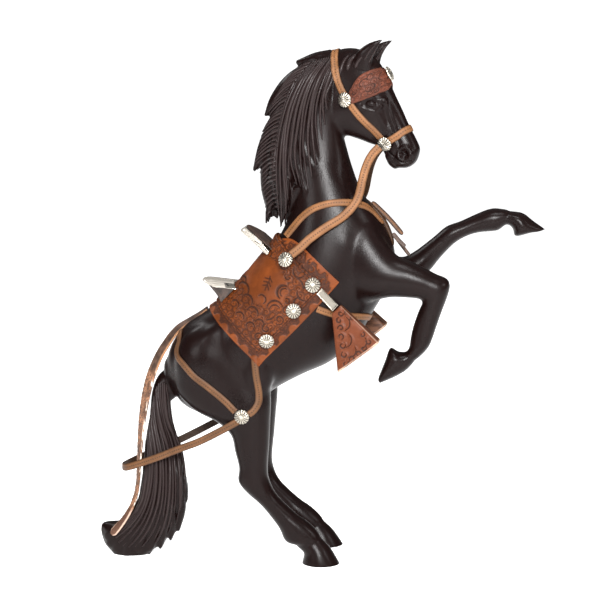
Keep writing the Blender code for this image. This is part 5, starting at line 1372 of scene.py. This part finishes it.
def browband_leaf(count=220, columns=61):
    """Wide leaf-shaped band from one cheek over the forehead to the other, carved with scrolls."""
    halves = [*BROWBAND_HALF, *BROWBAND_HALF[-2::-1]]
    table = spline(np.column_stack([both_halves(BROWBAND), halves]), 8)
    far = lengths(table[:, :3] + unit(table[:, 3:6]) * 12)
    at = np.linspace(0, far[-1], count)
    table = np.stack([np.interp(at, far, table[:, k]) for k in range(7)], axis=1)
    places, ways, half = table[:, :3], unit(table[:, 3:6]), table[:, 6:]
    to_side = step(np.abs(ways[:, 1]), 0.55, 0.9)[:, None]
    lean = unit(np.array([0.2, 0, 1.0]) * to_side + np.array([-0.35, 0, 1.0]) * (1 - to_side))
    tips, lean_tips, places = turned(places + ways), turned(places + lean), turned(places)
    ways, lean = unit(tips - places), unit(lean_tips - places)
    origins = sheet(places, lean, half, columns)
    heights = rest.heights(origins, ways[:, None])
    heights = np.array([filled(h) for h in heights.T]).T
    heights = np.maximum(eased_sheet(heights, 16, 14), heights) + 0.2
    base = origins + ways[:, None] * eased_sheet(heights, 5, 5)[..., None]
    across = half * np.linspace(-1, 1, columns)
    along = np.minimum(at, at[-1] - at)[:, None] + 0 * across
    near = near_arcs(along, across, BROW_ARCS)
    line, ground = curls(along, across + 40, BROW_CURL_PITCH)
    inside = half - np.abs(across)
    between = np.maximum(line * 0.8, ground * 0.6) * step(near, 1.6, 2.6) * step(inside, 0.9, 1.6)
    cut = np.maximum(step(near, 1.6, 0.9), between)
    edge = step(inside, 1.1, 0.4)
    relief = 0.25 * beside(near, 2.5) - 0.45 * cut - 0.4 * edge
    return ribbon(base, ways[:, None], STRAP_THICK + relief, hollow=np.maximum(cut, edge * 0.4))


def stirrup_block(side, rows=110, around=200):
    """Box stirrup that widens from a small top to a broad foot, carved on its outer face.

    A section is a rounded oblong: cos(a) and sin(a) to the power 0.22, across and through the board.
    Its two ends are rounded over. Its marks are the cuts, the pale foot and a pale line up the front
    edge of the outer face as a painted highlight, and the inner face, which is painted in shade.
    """
    t = 0.02 + 0.96 * np.linspace(0, 1, rows)
    t = np.concatenate([[0.0, 0.004, 0.012], t, [0.988, 0.996, 1, 1, 1]])[:, None]
    shrink = np.concatenate([[0.86, 0.95, 0.985], np.ones(rows), [0.985, 0.95, 0.86, 0.45, 0.1]])[:, None]
    top, foot = np.array(STIRRUP_TOP), np.array(STIRRUP_FOOT)
    first, second = (top[k] + (foot[k] - top[k]) * t for k in (0, 1))
    depth = STIRRUP_TOP_DEPTH + (STIRRUP_FOOT_DEPTH - STIRRUP_TOP_DEPTH) * t
    angle = np.linspace(0, 2 * math.pi, 4001)
    outline = np.stack([np.cos(angle), np.sin(angle)], axis=1)
    section = np.array([14, 8])
    outline = np.sign(outline) * np.abs(outline) ** 0.22 * section
    c, d = (evenly(outline, around + 1)[:-1] / section).T
    middle, half = (first + second) / 2, (second - first) / 2
    x = middle[:, :1] + half[:, :1] * c * shrink
    z = middle[:, 1:] + half[:, 1:] * c * shrink
    near = near_arcs(x, z, STIRRUP_ARCS)
    outer = step(d * side, 0.6, 0.95)
    cut = step(near, 1.5, 0.8) * outer
    foot_rim = step(t, 0.955, 0.965) * np.ones(around)
    foot_pale = foot_rim * (0.4 + 0.6 * step(np.abs(c), 0.5, 0.9))
    # Pale mark: the pale foot, and a painted highlight up the front edge of the outer face
    pale = np.maximum(foot_pale, 0.6 * step(c, 0.93, 0.97) * outer)
    # Painted shade on the face towards the horse
    inner = step(-d * side, -0.2, 0.3) + 0 * t
    relief = 0.5 * beside(near, 3.0) * outer - 0.5 * cut + 0.25 * foot_rim
    y = side * STIRRUP_STANDOFF + d * depth / 2 * shrink + side * outer * (relief - 0.5)
    return tube(np.stack([x, y, z], axis=-1), hollow=cut * 0.85, pale=pale, inner=inner)


def stirrup_bar(side, button, count=40):
    """Flat metal bar with a raised rim from the edge of a button of that radius down to the stirrup."""
    start, end = np.array(BAR_START), np.array(BAR_END)
    along = unit(end - start)
    first = start + along * (button + 0.8)
    share = np.linspace(0, 1, count)[:, None]
    places = first + (end - along * 0.6 - first) * share
    start_y = rest.height(places[0], (0, side, 0)) + 0.4
    places[:, 1] = side * np.linspace(start_y, max(start_y, STIRRUP_STANDOFF), count)
    across, outs = square_to(places, (0, side, 0))
    columns = 15
    ends = np.minimum(share, 1 - share) * 24
    inside = step(1 - np.abs(np.linspace(-1, 1, columns)), 0.2, 0.34)[None] * step(ends, 0.7, 1.3)
    base = sheet(places, across, BAR_WIDTH / 2, columns)
    return ribbon(base, outs[:, None], BAR_THICK - 0.5 * inside, hollow=inside * 0.5)


def rein(side, width, thick, count=150):
    """Rein from the bit to the saddle. It keeps its own line and rests where the horse is wider."""
    x, z, wide = curve(REIN_ROUTE, count).T
    if side > 0:
        x = x + FAR_REIN_AHEAD * np.clip((z - REIN_LEAVES_HEAD) / 15, 0, 1)
    head_share = np.clip((z - REIN_LEAVES_HEAD) / 45, 0, 1)
    sway = -math.tan(math.radians(HEAD_TURN_DEG)) * (x - POLL[0]) * head_share
    places = np.stack([x, 0 * x, z], axis=1)
    skin = rest.heights(places, (0, side, 0))
    skin = np.where(np.isnan(skin), -99, skin) + 0.3
    places[:, 1] = side * eased(np.maximum(skin, np.abs(wide * side + sway)), 6)
    return free_strap(places, (0, side, 0), width, thick)


def crupper():
    """Strap from the saddle down the tail, widest 84 along it and narrowed over its last 50.

    Its marks are worn, from the end of its dark start on, and tip, its end.
    """
    places, ways = route(CRUPPER_PATH, 220)
    across, outs = square_to(places, ways)
    far = lengths(places)[:, None]
    left = far[-1] - far
    t = np.linspace(-1, 1, 9)
    half = CRUPPER_WIDTH / 2 * (1 + 0.35 * bell(far - 84, 30) - 0.3 * step(left, 50, 25))
    half = half * np.sqrt(np.clip((left + 0.6) / 3.0, 0, 1))
    worn, tip = step(far, 62, 70) + 0 * t, step(left, 26, 20) + 0 * t
    rough = 0.2 * np.sin(1.3 * far + 3 * t) * np.sin(0.7 * far - 5 * t) * worn
    thick = CRUPPER_THICK + rough - 0.5 * np.abs(t) ** 6
    return ribbon(sheet(places, across, half, 9), outs[:, None], thick, worn=worn, tip=tip)


def thong(path, width, count=40):
    """Thin strap that stands off the chest, its face to the side."""
    rounded = np.sqrt(np.clip(1 - np.linspace(-1, 1, count) ** 12, 0.04, 1))
    return free_strap(curve(path, count), unit([0.25, -1, 0.25]), width * rounded, STRAP_THICK)


def chest_tab(count=40):
    """Dark tab on the front of the chest, thickest in the middle of its length."""
    swelling = np.sqrt(np.sin(np.linspace(0.04, math.pi - 0.04, count)))[:, None]
    tab = laid_strap(near_rows(CHEST_TAB_ROUTE), 9.0, 2.4 * swelling, count)
    # The whole tab is given the dark colour that is painted as shade on the straps' lower faces
    tab.marks["under"][:] = 1
    return tab


class Wire:
    """A shader socket that can be written into sums. Each operation adds a Math node."""

    def __init__(self, finish, socket):
        self.finish = finish
        self.socket = socket

    def maths(self, operation, *values):
        return self.finish.node("ShaderNodeMath", {"operation": operation}, dict(enumerate(values)))

    def __add__(self, other):
        return self.maths("ADD", self, other)

    def __sub__(self, other):
        return self.maths("SUBTRACT", self, other)

    def __rsub__(self, other):
        return self.maths("SUBTRACT", other, self)

    def __mul__(self, other):
        return self.maths("MULTIPLY", self, other)

    def __truediv__(self, other):
        return self.maths("DIVIDE", self, other)

    def __abs__(self):
        return self.maths("ABSOLUTE", self)

    __radd__ = __add__
    __rmul__ = __mul__

    def ramp(self, low, high):
        """Nought below low and one above high, with a smooth rise between them."""
        settings = {"interpolation_type": "SMOOTHSTEP"}
        return self.finish.node("ShaderNodeMapRange", settings, {0: self, 1: low, 2: high})


class Finish:
    """A material in the making, whose variation feeds its main shader."""

    def __init__(self, name):
        self.material = bpy.data.materials.new(name)
        self.material.use_nodes = True
        self.tree = self.material.node_tree
        self.shader = self.tree.nodes["Principled BSDF"]
        self.place = self.node("ShaderNodeTexCoord", {}, {}, "Object")

    def join(self, value, socket):
        if isinstance(value, Wire):
            self.tree.links.new(value.socket, socket)
        else:
            socket.default_value = value

    def node(self, kind, settings, inputs, output=0):
        """Adds a node of a kind: first its settings, then the values or links of its sockets."""
        made = self.tree.nodes.new(kind)
        for key, value in settings.items():
            setattr(made, key, value)
        for key, value in inputs.items():
            self.join(value, made.inputs[key])
        return Wire(self, made.outputs[output])

    def noise(self, scale, detail, stretch=(1, 1, 1)):
        """Cloudy numbers about 0.5. A larger scale is a finer pattern, per metre."""
        spread = self.node("ShaderNodeMapping", {}, {"Vector": self.place, "Scale": stretch})
        return self.node("ShaderNodeTexNoise", {}, {"Vector": spread, "Scale": scale, "Detail": detail})

    def mark(self, name):
        """The number that the mesh holds at each point under this name."""
        return self.node("ShaderNodeAttribute", {"attribute_name": name}, {}, "Fac")

    def mixed(self, share, first, second):
        """The first colour where the share is nought and the second where it is one."""
        colours = {6: self.colour(first), 7: self.colour(second)}
        return self.node("ShaderNodeMix", {"data_type": "RGBA"}, {0: share, **colours}, 2)

    def colour(self, value):
        return value if isinstance(value, Wire) else (*value, 1.0)

    def mottled(self, share, colour, low, high):
        """The colour made low times as light where the share is nought, and high times where it is one."""
        return self.mixed(share, shaded(colour, low), shaded(colour, high))

    def bump(self, height, distance, strength):
        inputs = {"Height": height, "Distance": distance, "Strength": strength}
        self.join(self.node("ShaderNodeBump", {}, inputs), self.shader.inputs["Normal"])

    def set(self, **inputs):
        """Values or links for the main shader's sockets, whose names use _ for a space."""
        for key, value in inputs.items():
            self.join(value, self.shader.inputs[key.replace("_", " ")])
        return self.material


def shaded(colour, share):
    """A colour made lighter or darker."""
    return tuple(min(1.0, c * share) for c in colour)


# Paler wood along the ridges of the hair: partly wear, partly a painted highlight
RIDGE_WEAR_AND_HIGHLIGHT_WOOD = (0.062, 0.045, 0.044)


def dark_wood(colour):
    """Near-black stained wood, waxed: grain along Z, a mottled sheen, and hair ridges made paler,
    partly by wear and partly as a painted highlight.
    """
    f = Finish("dark_wood")
    grain, cloud, pores = f.noise(420, 5, (1, 1, 0.16)), f.noise(38, 3), f.noise(1500, 2, (1, 1, 0.4))
    tone = f.mottled(grain * 0.6 + cloud * 0.4, colour, 0.55, 1.5)
    # Paler along the hair's ridges: partly wear, partly a painted highlight
    tone = f.mixed(f.mark("rubbed") * 0.38, tone, RIDGE_WEAR_AND_HIGHLIGHT_WOOD)
    f.bump(grain * 0.4 + pores * 0.6, 0.0002, 0.4)
    return f.set(Base_Color=tone, Roughness=0.18 + cloud * 0.12 + pores * 0.12, Specular_IOR_Level=0.13)


def strap_leather(name, colour):
    """Tan bridle leather with a row of stitches down the middle, darker at its edges,
    and with painted shade on its lower face.
    """
    f = Finish(name)
    aside, cloud, grain = abs(f.mark("across")), f.noise(90, 3), f.noise(1400, 3)
    beat = f.node("ShaderNodeMath", {"operation": "FRACT"}, {0: f.mark("along") / STITCH_PITCH})
    stitch = (1 - abs(beat - 0.5).ramp(0.2, 0.34)) * (1 - aside.ramp(0.12, 0.24))
    tone = f.mottled(cloud.ramp(0.3, 0.7), colour, 0.82, 1.15)
    tone = f.mixed(aside.ramp(0.72, 1.0) * 0.75, tone, shaded(colour, 0.36))
    tone = f.mixed(stitch * 0.9, tone, shaded(colour, 0.34))
    # Painted shade: the lower face, towards what the strap lies on, is made far darker
    tone = f.mixed(f.mark("under"), tone, shaded(colour, 0.22))
    f.bump(grain * 0.35 - stitch, 0.0002, 0.5)
    return f.set(Base_Color=tone, Roughness=0.42 + grain * 0.2, Specular_IOR_Level=0.25)


def tooled_leather(name, colour, recess):
    """Carved leather: what is cut away is stained dark and matted with small dents."""
    f = Finish(name)
    hollow = f.mark("hollow")
    cloud, grain, dents = f.noise(55, 4), f.noise(1500, 3), f.noise(1100, 2)
    tone = f.mottled(cloud.ramp(0.32, 0.68), colour, 0.7, 1.3)
    tone = f.mixed(f.mark("ruddy") * 0.6, tone, shaded(colour, 0.62))
    tone = f.mixed(hollow * (0.75 + dents.ramp(0.4, 0.6) * 0.25), tone, recess)
    f.bump(grain * 0.5 + dents * hollow, 0.0003, 0.4)
    rough = 0.34 + grain * 0.15 + hollow * 0.15
    return f.set(Base_Color=tone, Roughness=rough, Specular_IOR_Level=0.15)


def dark_leather(colour):
    """Dark brown leather with a rough face."""
    f = Finish("dark_leather")
    cloud, grain = f.noise(160, 4), f.noise(900, 4)
    f.bump(grain, 0.0004, 0.5)
    return f.set(Base_Color=f.mottled(cloud.ramp(0.3, 0.75), colour, 0.6, 2.2), Roughness=0.5 + grain * 0.2)


def worn_leather(colour):
    """Crupper leather: dark brown, then bronze with pale fibres, then a dark end with cream edges."""
    f = Finish("worn_leather")
    worn, tip, edge = f.mark("worn"), f.mark("tip"), abs(f.mark("across")).ramp(0.7, 0.95)
    cloud, fibres, specks = f.noise(160, 5), f.noise(330, 6, (1, 1, 0.25)), f.noise(900, 3)
    dark = f.mottled(cloud.ramp(0.3, 0.75), colour, 0.6, 2.2)
    dark = f.mixed(edge * 0.7, dark, (0.42, 0.2, 0.09))
    bronze = f.mixed(cloud.ramp(0.35, 0.7), (0.09, 0.042, 0.024), (0.34, 0.165, 0.09))
    bronze = f.mixed(specks.ramp(0.52, 0.62), bronze, (0.05, 0.025, 0.017))
    bronze = f.mixed(fibres.ramp(0.55, 0.62) * edge, bronze, (0.75, 0.66, 0.56))
    tone = f.mixed(worn, dark, bronze)
    tone = f.mixed(tip * 0.8, tone, (0.07, 0.03, 0.018))
    tone = f.mixed(tip * edge, tone, (0.5, 0.34, 0.26))
    f.bump(fibres * worn + cloud * 0.4, 0.0006, 0.6)
    return f.set(Base_Color=tone, Roughness=0.45 + fibres * 0.25, Specular_IOR_Level=0.3)


def thong_leather(dark, tan):
    """Thin thongs, tan with dark edges."""
    f = Finish("thong_leather")
    cloud = f.noise(200, 3)
    tone = f.mottled(cloud.ramp(0.3, 0.7), tan, 0.4, 0.7)
    tone = f.mixed(abs(f.mark("across")).ramp(0.3, 0.55), tone, dark)
    f.bump(cloud, 0.0003, 0.3)
    return f.set(Base_Color=tone, Roughness=0.45 + cloud * 0.15, Specular_IOR_Level=0.25)


def silver(colour):
    """Polished silver, a little tarnished in its slots."""
    f = Finish("silver")
    hollow, cloud = f.mark("hollow"), f.noise(260, 3)
    tone = f.mixed(hollow, colour, (0.05, 0.045, 0.04))
    tone = f.mixed(cloud.ramp(0.45, 0.8) * 0.2, tone, shaded(colour, 0.6))
    return f.set(Base_Color=tone, Metallic=1.0, Roughness=0.28 + cloud * 0.06 + hollow * 0.3)


def polished_plate(pale, metal):
    """Cream polished slab with a bright metal foot, streaked with painted dark reflections,
    and a dark seam, by its marks.
    """
    f = Finish("polished_plate")
    foot, cloud = f.mark("foot"), f.noise(120, 3)
    tone = f.mottled(cloud.ramp(0.3, 0.8), pale, 1.0, 0.86)
    # The foot's metal is streaked down to a fifth of its colour: painted dark reflections
    tone = f.mixed(foot, tone, f.mottled(cloud.ramp(0.42, 0.52), metal, 0.2, 1.0))
    tone = f.mixed(f.mark("seam"), tone, (0.03, 0.022, 0.02))
    f.bump(cloud, 0.0002, 0.1)
    rough = 0.2 + cloud * 0.08 - foot * 0.1
    return f.set(Base_Color=tone, Metallic=foot, Roughness=rough, Coat_Weight=0.3)


def stirrup_boards(colour, recess):
    """Reddish brown stirrup boards with a carved face, a pale foot, a painted highlight up one edge
    and painted shade on the inner face.
    """
    f = Finish("stirrup_wood")
    grain, cloud = f.noise(500, 4, (0.3, 1, 1)), f.noise(45, 3)
    tone = f.mottled(grain * 0.5 + cloud * 0.5, colour, 0.6, 1.4)
    tone = f.mixed(f.mark("hollow"), tone, recess)
    # The inner face, towards the horse, is painted in shade
    inner = f.mixed(grain.ramp(0.35, 0.65), (0.03, 0.016, 0.01), (0.11, 0.05, 0.028))
    tone = f.mixed(f.mark("inner") * 0.85, tone, inner)
    # The pale foot, and a painted highlight up the front edge
    tone = f.mixed(f.mark("pale") * 0.8, tone, (0.55, 0.4, 0.3))
    f.bump(grain, 0.0002, 0.3)
    return f.set(Base_Color=tone, Roughness=0.36 + grain * 0.15, Specular_IOR_Level=0.15)


def length_property(name, description, default, **limits):
    """A size in metres that a user can change."""
    given = {"name": name, "description": description, "default": default, **limits}
    return FloatProperty(unit="LENGTH", precision=5, **given)


def colour_property(name, description, default):
    """A colour that a user can change."""
    return FloatVectorProperty(name=name, description=description, default=default, subtype="COLOR")


class HorseSizes(bpy.types.PropertyGroup):
    """Sizes that a user would change."""

    skin_grid: length_property("Skin grid", "Spacing of the grid the skin is made on", 0.0011, min=0.0006)
    skin_triangles: IntProperty(
        name="Skin triangles",
        description="How many triangles the carved skin keeps, without its strands",
        default=96000,
        min=5000,
    )
    strap_width: length_property("Strap width", "Width of the bridle and harness straps", 0.0048)
    strap_thick: length_property("Strap thickness", "Thickness of the straps", 0.0011)
    rein_width: length_property("Rein width", "Width of the reins", 0.0058)
    concho_radius: length_property("Concho radius", "Radius of the silver buttons", 0.0056)


class HorseColours(bpy.types.PropertyGroup):
    """Colours that a user would change."""

    wood: colour_property("Wood", "Stained wood of the horse", (0.0056, 0.0021, 0.0018))
    straps: colour_property("Straps", "Tan strap leather", (0.188, 0.080, 0.0295))
    tooled: colour_property("Tooled leather", "Saddle leather", (0.130, 0.031, 0.0062))
    recess: colour_property("Recesses", "Stain in the carved recesses", (0.019, 0.007, 0.0042))
    dark: colour_property("Dark leather", "Crupper and thongs", (0.044, 0.024, 0.016))
    metal: colour_property("Silver", "Buttons, plates and bars", (0.50, 0.46, 0.39))
    plate: colour_property("Plates", "Pommel and cantle", (0.42, 0.385, 0.335))
    browband: colour_property("Browband", "Carved browband leather", (0.115, 0.033, 0.018))
    stirrup: colour_property("Stirrups", "Stirrup boards", (0.108, 0.027, 0.0091))


def units(length_in_metres):
    """The length in drawing units."""
    return length_in_metres / UNIT


# How light the haunch straps and the tail strap are, as a share of the others
HAUNCH_SHADE = 0.56
SIDES = (("near", -1), ("far", 1))


class HORSE_OT_skin(bpy.types.Operator):
    """Carves the horse, with its mane and tail"""

    bl_idname = "horse.skin"
    bl_label = "Carved horse"

    def execute(self, context):
        sizes, colours = context.scene.horse_sizes, context.scene.horse_colours
        parts = carved_horse(units(sizes.skin_grid), sizes.skin_triangles)
        add_piece("carved_horse", parts, dark_wood(colours.wood), ["horse"])
        return {"FINISHED"}


class HORSE_OT_straps(bpy.types.Operator):
    """Lays the bridle, breast strap, girth and haunch straps"""

    bl_idname = "horse.straps"
    bl_label = "Straps and reins"

    def execute(self, context):
        sizes, colours = context.scene.horse_sizes, context.scene.horse_colours
        finish = strap_leather("tan_leather", colours.straps)
        # A darker copy of the strap leather, for the haunch straps
        darker_straps = strap_leather("haunch_leather", shaded(colours.straps, HAUNCH_SHADE))
        width, thick = units(sizes.strap_width), units(sizes.strap_thick)
        laid = {
            "girth": (both_halves(GIRTH_ROUTE), {"count": 90, "reach": 40.0}),
            "breast_strap": (both_halves(BREAST_ROUTE), {"count": 180}),
            "headstall": (both_halves(CROWN_ROUTE[::-1]), {"count": 180, "head": True}),
            "noseband": (both_halves(NOSEBAND_ROUTE), {"count": 90, "head": True}),
        }
        for word, side in SIDES:
            laid["haunch_strap_rear_" + word] = (of_side(HAUNCH_REAR_ROUTE, side), {"count": 80})
            laid["haunch_strap_front_" + word] = (of_side(HAUNCH_FRONT_ROUTE, side), {"count": 60})
        for name, (rows, settings) in laid.items():
            parts = [laid_strap(rows, width, thick, **settings)]
            if name == "breast_strap":
                parts.append(chest_tab())
            leather = darker_straps if "haunch" in name else finish
            add_piece(name + "_leather", parts, leather, [name])
        return {"FINISHED"}


class HORSE_OT_saddle(bpy.types.Operator):
    """Lays the tooled pad and the seat over the barrel"""

    bl_idname = "horse.saddle"
    bl_label = "Saddle pad and seat"

    def execute(self, context):
        colours = context.scene.horse_colours
        finish = tooled_leather("tooled_leather", colours.tooled, colours.recess)
        add_piece("saddle_pad_leather", [saddle_pad()], finish, ["saddle_pad"])
        add_piece("saddle_seat_leather", [saddle_seat()], finish, ["saddle_seat"])
        return {"FINISHED"}


class HORSE_OT_plates(bpy.types.Operator):
    """Stands the pommel and the cantle on the saddle, each a pale plate with a dark backing"""

    bl_idname = "horse.plates"
    bl_label = "Pommel and cantle"

    def execute(self, context):
        colours = context.scene.horse_colours
        pale, dark = polished_plate(colours.plate, colours.metal), dark_leather(colours.dark)
        darker = dark_leather(shaded(colours.dark, 0.6))
        pommel = (POMMEL_S, POMMEL_LEAN_DEG, POMMEL_TALL, POMMEL_HALF, POMMEL_CURL)
        lower = (POMMEL_S, POMMEL_LEAN_DEG, POMMEL_TALL * 0.94, POMMEL_HALF, POMMEL_CURL * 0.94)
        cantle = (CANTLE_S, CANTLE_LEAN_DEG, CANTLE_TALL, CANTLE_HALF, 0.0)
        front = arch_plate(*pommel, thick=POMMEL_THICK + POMMEL_FRONT, offset=-POMMEL_FRONT)
        backing = arch_plate(*lower, thick=PLATE_BACKING, offset=POMMEL_THICK + 0.4, thin=0.75)
        rear = arch_plate(*cantle, thick=PLATE_THICK, offset=-PLATE_THICK / 2)
        prop = cantle_block()
        add_piece("pommel_slab", [front], pale, ["pommel_plate"])
        add_piece("pommel_backing", [backing], dark, ["pommel_leather"])
        add_piece("cantle_slab", [rear], pale, ["cantle_plate"])
        add_piece("cantle_block", [prop], darker, ["cantle_leather"])
        return {"FINISHED"}


class HORSE_OT_browband(bpy.types.Operator):
    """Wraps the carved browband round the forehead"""

    bl_idname = "horse.browband"
    bl_label = "Browband"

    def execute(self, context):
        colours = context.scene.horse_colours
        finish = tooled_leather("browband_leather", colours.browband, colours.recess)
        add_piece("browband_leaf", [browband_leaf()], finish, ["browband"])
        return {"FINISHED"}


class HORSE_OT_conchos(bpy.types.Operator):
    """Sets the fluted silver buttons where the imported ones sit"""

    bl_idname = "horse.conchos"
    bl_label = "Conchos"

    def execute(self, context):
        finish = silver(context.scene.horse_colours.metal)
        for node in sorted(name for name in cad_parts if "concho" in name):
            piece(node + "_button", [concho(node)], finish, [node])
        return {"FINISHED"}


class HORSE_OT_stirrups(bpy.types.Operator):
    """Hangs a carved stirrup and its bar at each side"""

    bl_idname = "horse.stirrups"
    bl_label = "Stirrups and bars"

    def execute(self, context):
        sizes, colours = context.scene.horse_sizes, context.scene.horse_colours
        boards, metal = stirrup_boards(colours.stirrup, colours.recess), silver(colours.metal)
        for word, side in SIDES:
            block, bar = stirrup_block(side), stirrup_bar(side, units(sizes.concho_radius))
            piece("stirrup_board_" + word, [block], boards, ["stirrup_" + word])
            piece("stirrup_hanger_" + word, [bar], metal, ["stirrup_bar_" + word])
        return {"FINISHED"}


class HORSE_OT_reins(bpy.types.Operator):
    """Runs a rein along each side of the neck"""

    bl_idname = "horse.reins"
    bl_label = "Reins"

    def execute(self, context):
        sizes, colours = context.scene.horse_sizes, context.scene.horse_colours
        finish = strap_leather("tan_leather", colours.straps)
        for word, side in SIDES:
            strap = rein(side, units(sizes.rein_width), units(sizes.strap_thick))
            piece("rein_strap_" + word, [strap], finish, ["rein_" + word])
        return {"FINISHED"}


class HORSE_OT_crupper(bpy.types.Operator):
    """Runs the crupper down the tail, the strap round the tail and the thongs at the chest"""

    bl_idname = "horse.crupper"
    bl_label = "Crupper, tail strap and thongs"

    def execute(self, context):
        sizes, colours = context.scene.horse_sizes, context.scene.horse_colours
        worn = worn_leather(colours.dark)
        tan = strap_leather("haunch_leather", shaded(colours.straps, HAUNCH_SHADE))
        thin, plain = thong_leather(colours.dark, colours.straps), dark_leather(colours.dark)
        piece("crupper_band", [crupper()], worn, ["crupper_strap"])
        band = free_strap(*route(TAIL_STRAP_PATH, 220), TAIL_STRAP_WIDTH, units(sizes.strap_thick))
        piece("tail_band", [band], tan, ["tail_strap"])
        for (node, width, path), finish in zip(THONG_PATHS, (thin, plain, plain)):
            piece(node + "_lace", [thong(path, width)], finish, [node])
        return {"FINISHED"}


def aim(obj, azimuth_deg, elevation_deg, far):
    """Puts a light or the camera round the middle of the view, looking at it. Angles are from -Y."""
    a, e = math.radians(azimuth_deg), math.radians(elevation_deg)
    back = Vector((math.sin(a) * math.cos(e), -math.cos(a) * math.cos(e), math.sin(e)))
    target = Vector(ORIGIN + np.array(VIEW_MIDDLE) * UNIT)
    obj.location = target + back * far
    obj.rotation_euler = back.to_track_quat("Z", "Y").to_euler()


class HORSE_OT_stage(bpy.types.Operator):
    """Sets the floor, the lights and the camera at the photograph's angle"""

    bl_idname = "horse.stage"
    bl_label = "Stage"

    def execute(self, context):
        corners = ((-1, -1), (1, -1), (1, 1), (-1, 1))
        plane = Shell([(x * FLOOR_HALF, y * FLOOR_HALF, GROUND) for x, y in corners])
        plane.quads = np.array([[0, 1, 2, 3]])
        floor = linked(bpy.data.objects.new("floor", mesh_of("floor", plane, UNIT, ORIGIN)))
        white = (0.93, 0.93, 0.93, 1.0)
        lit = {"Emission_Color": white, "Emission_Strength": 0.88}
        floor.data.materials.append(Finish("pale_floor").set(Base_Color=white, Roughness=0.9, **lit))
        for name, azimuth, elevation, far, size, power in LIGHTS:
            lamp = bpy.data.lights.new(name, "AREA")
            lamp.shape = "DISK"
            lamp.size, lamp.energy = size, power
            aim(linked(bpy.data.objects.new(name, lamp)), azimuth, elevation, far)
        sky = bpy.data.lights.new("sky_light", "SUN")
        sky.angle, sky.energy = math.radians(100), SKY_POWER
        linked(bpy.data.objects.new("sky_light", sky))
        world = bpy.data.worlds.new("studio")
        world.use_nodes = True
        nodes, links = world.node_tree.nodes, world.node_tree.links
        seen = nodes.new("ShaderNodeLightPath").outputs["Is Camera Ray"]
        level = nodes.new("ShaderNodeMapRange")
        links.new(seen, level.inputs["Value"])
        level.inputs["To Min"].default_value = WORLD_STRENGTH
        level.inputs["To Max"].default_value = BACKDROP_STRENGTH
        links.new(level.outputs["Result"], nodes["Background"].inputs["Strength"])
        nodes["Background"].inputs["Color"].default_value = (1, 1, 1, 1)
        context.scene.world = world
        camera = linked(bpy.data.objects.new("camera", bpy.data.cameras.new("camera")))
        camera.data.lens = camera.data.sensor_width * CAMERA_FOCUS_PX / IMAGE_PX
        aim(camera, CAMERA_AZIMUTH, CAMERA_ELEVATION, CAMERA_DISTANCE)
        context.scene.camera = camera
        context.scene.view_settings.view_transform = "Standard"
        return {"FINISHED"}


class HORSE_PT_panel(bpy.types.Panel):
    """Lists the steps of making the horse"""

    bl_label = "Carved horse"
    bl_idname = "HORSE_PT_panel"
    bl_space_type = "VIEW_3D"
    bl_region_type = "UI"
    bl_category = "Horse"

    def draw(self, context):
        for group in (context.scene.horse_sizes, context.scene.horse_colours):
            for name in group.bl_rna.properties.keys():
                if name not in ("rna_type", "name"):
                    self.layout.prop(group, name)
        for made in STEPS:
            self.layout.operator(made.bl_idname)


STEPS = (
    HORSE_OT_skin,
    HORSE_OT_straps,
    HORSE_OT_saddle,
    HORSE_OT_plates,
    HORSE_OT_browband,
    HORSE_OT_conchos,
    HORSE_OT_stirrups,
    HORSE_OT_reins,
    HORSE_OT_crupper,
    HORSE_OT_stage,
)
CLASSES = (HorseSizes, HorseColours, *STEPS, HORSE_PT_panel)


def register():
    for made in CLASSES:
        bpy.utils.register_class(made)
    bpy.types.Scene.horse_sizes = PointerProperty(type=HorseSizes)
    bpy.types.Scene.horse_colours = PointerProperty(type=HorseColours)


def unregister():
    del bpy.types.Scene.horse_colours
    del bpy.types.Scene.horse_sizes
    for made in reversed(CLASSES):
        bpy.utils.unregister_class(made)


def main():
    register()
    bpy.ops.horse.skin()
    bpy.ops.horse.straps()
    bpy.ops.horse.saddle()
    bpy.ops.horse.plates()
    bpy.ops.horse.browband()
    bpy.ops.horse.conchos()
    bpy.ops.horse.stirrups()
    bpy.ops.horse.reins()
    bpy.ops.horse.crupper()
    bpy.ops.horse.stage()


if __name__ == "__main__":
    main()
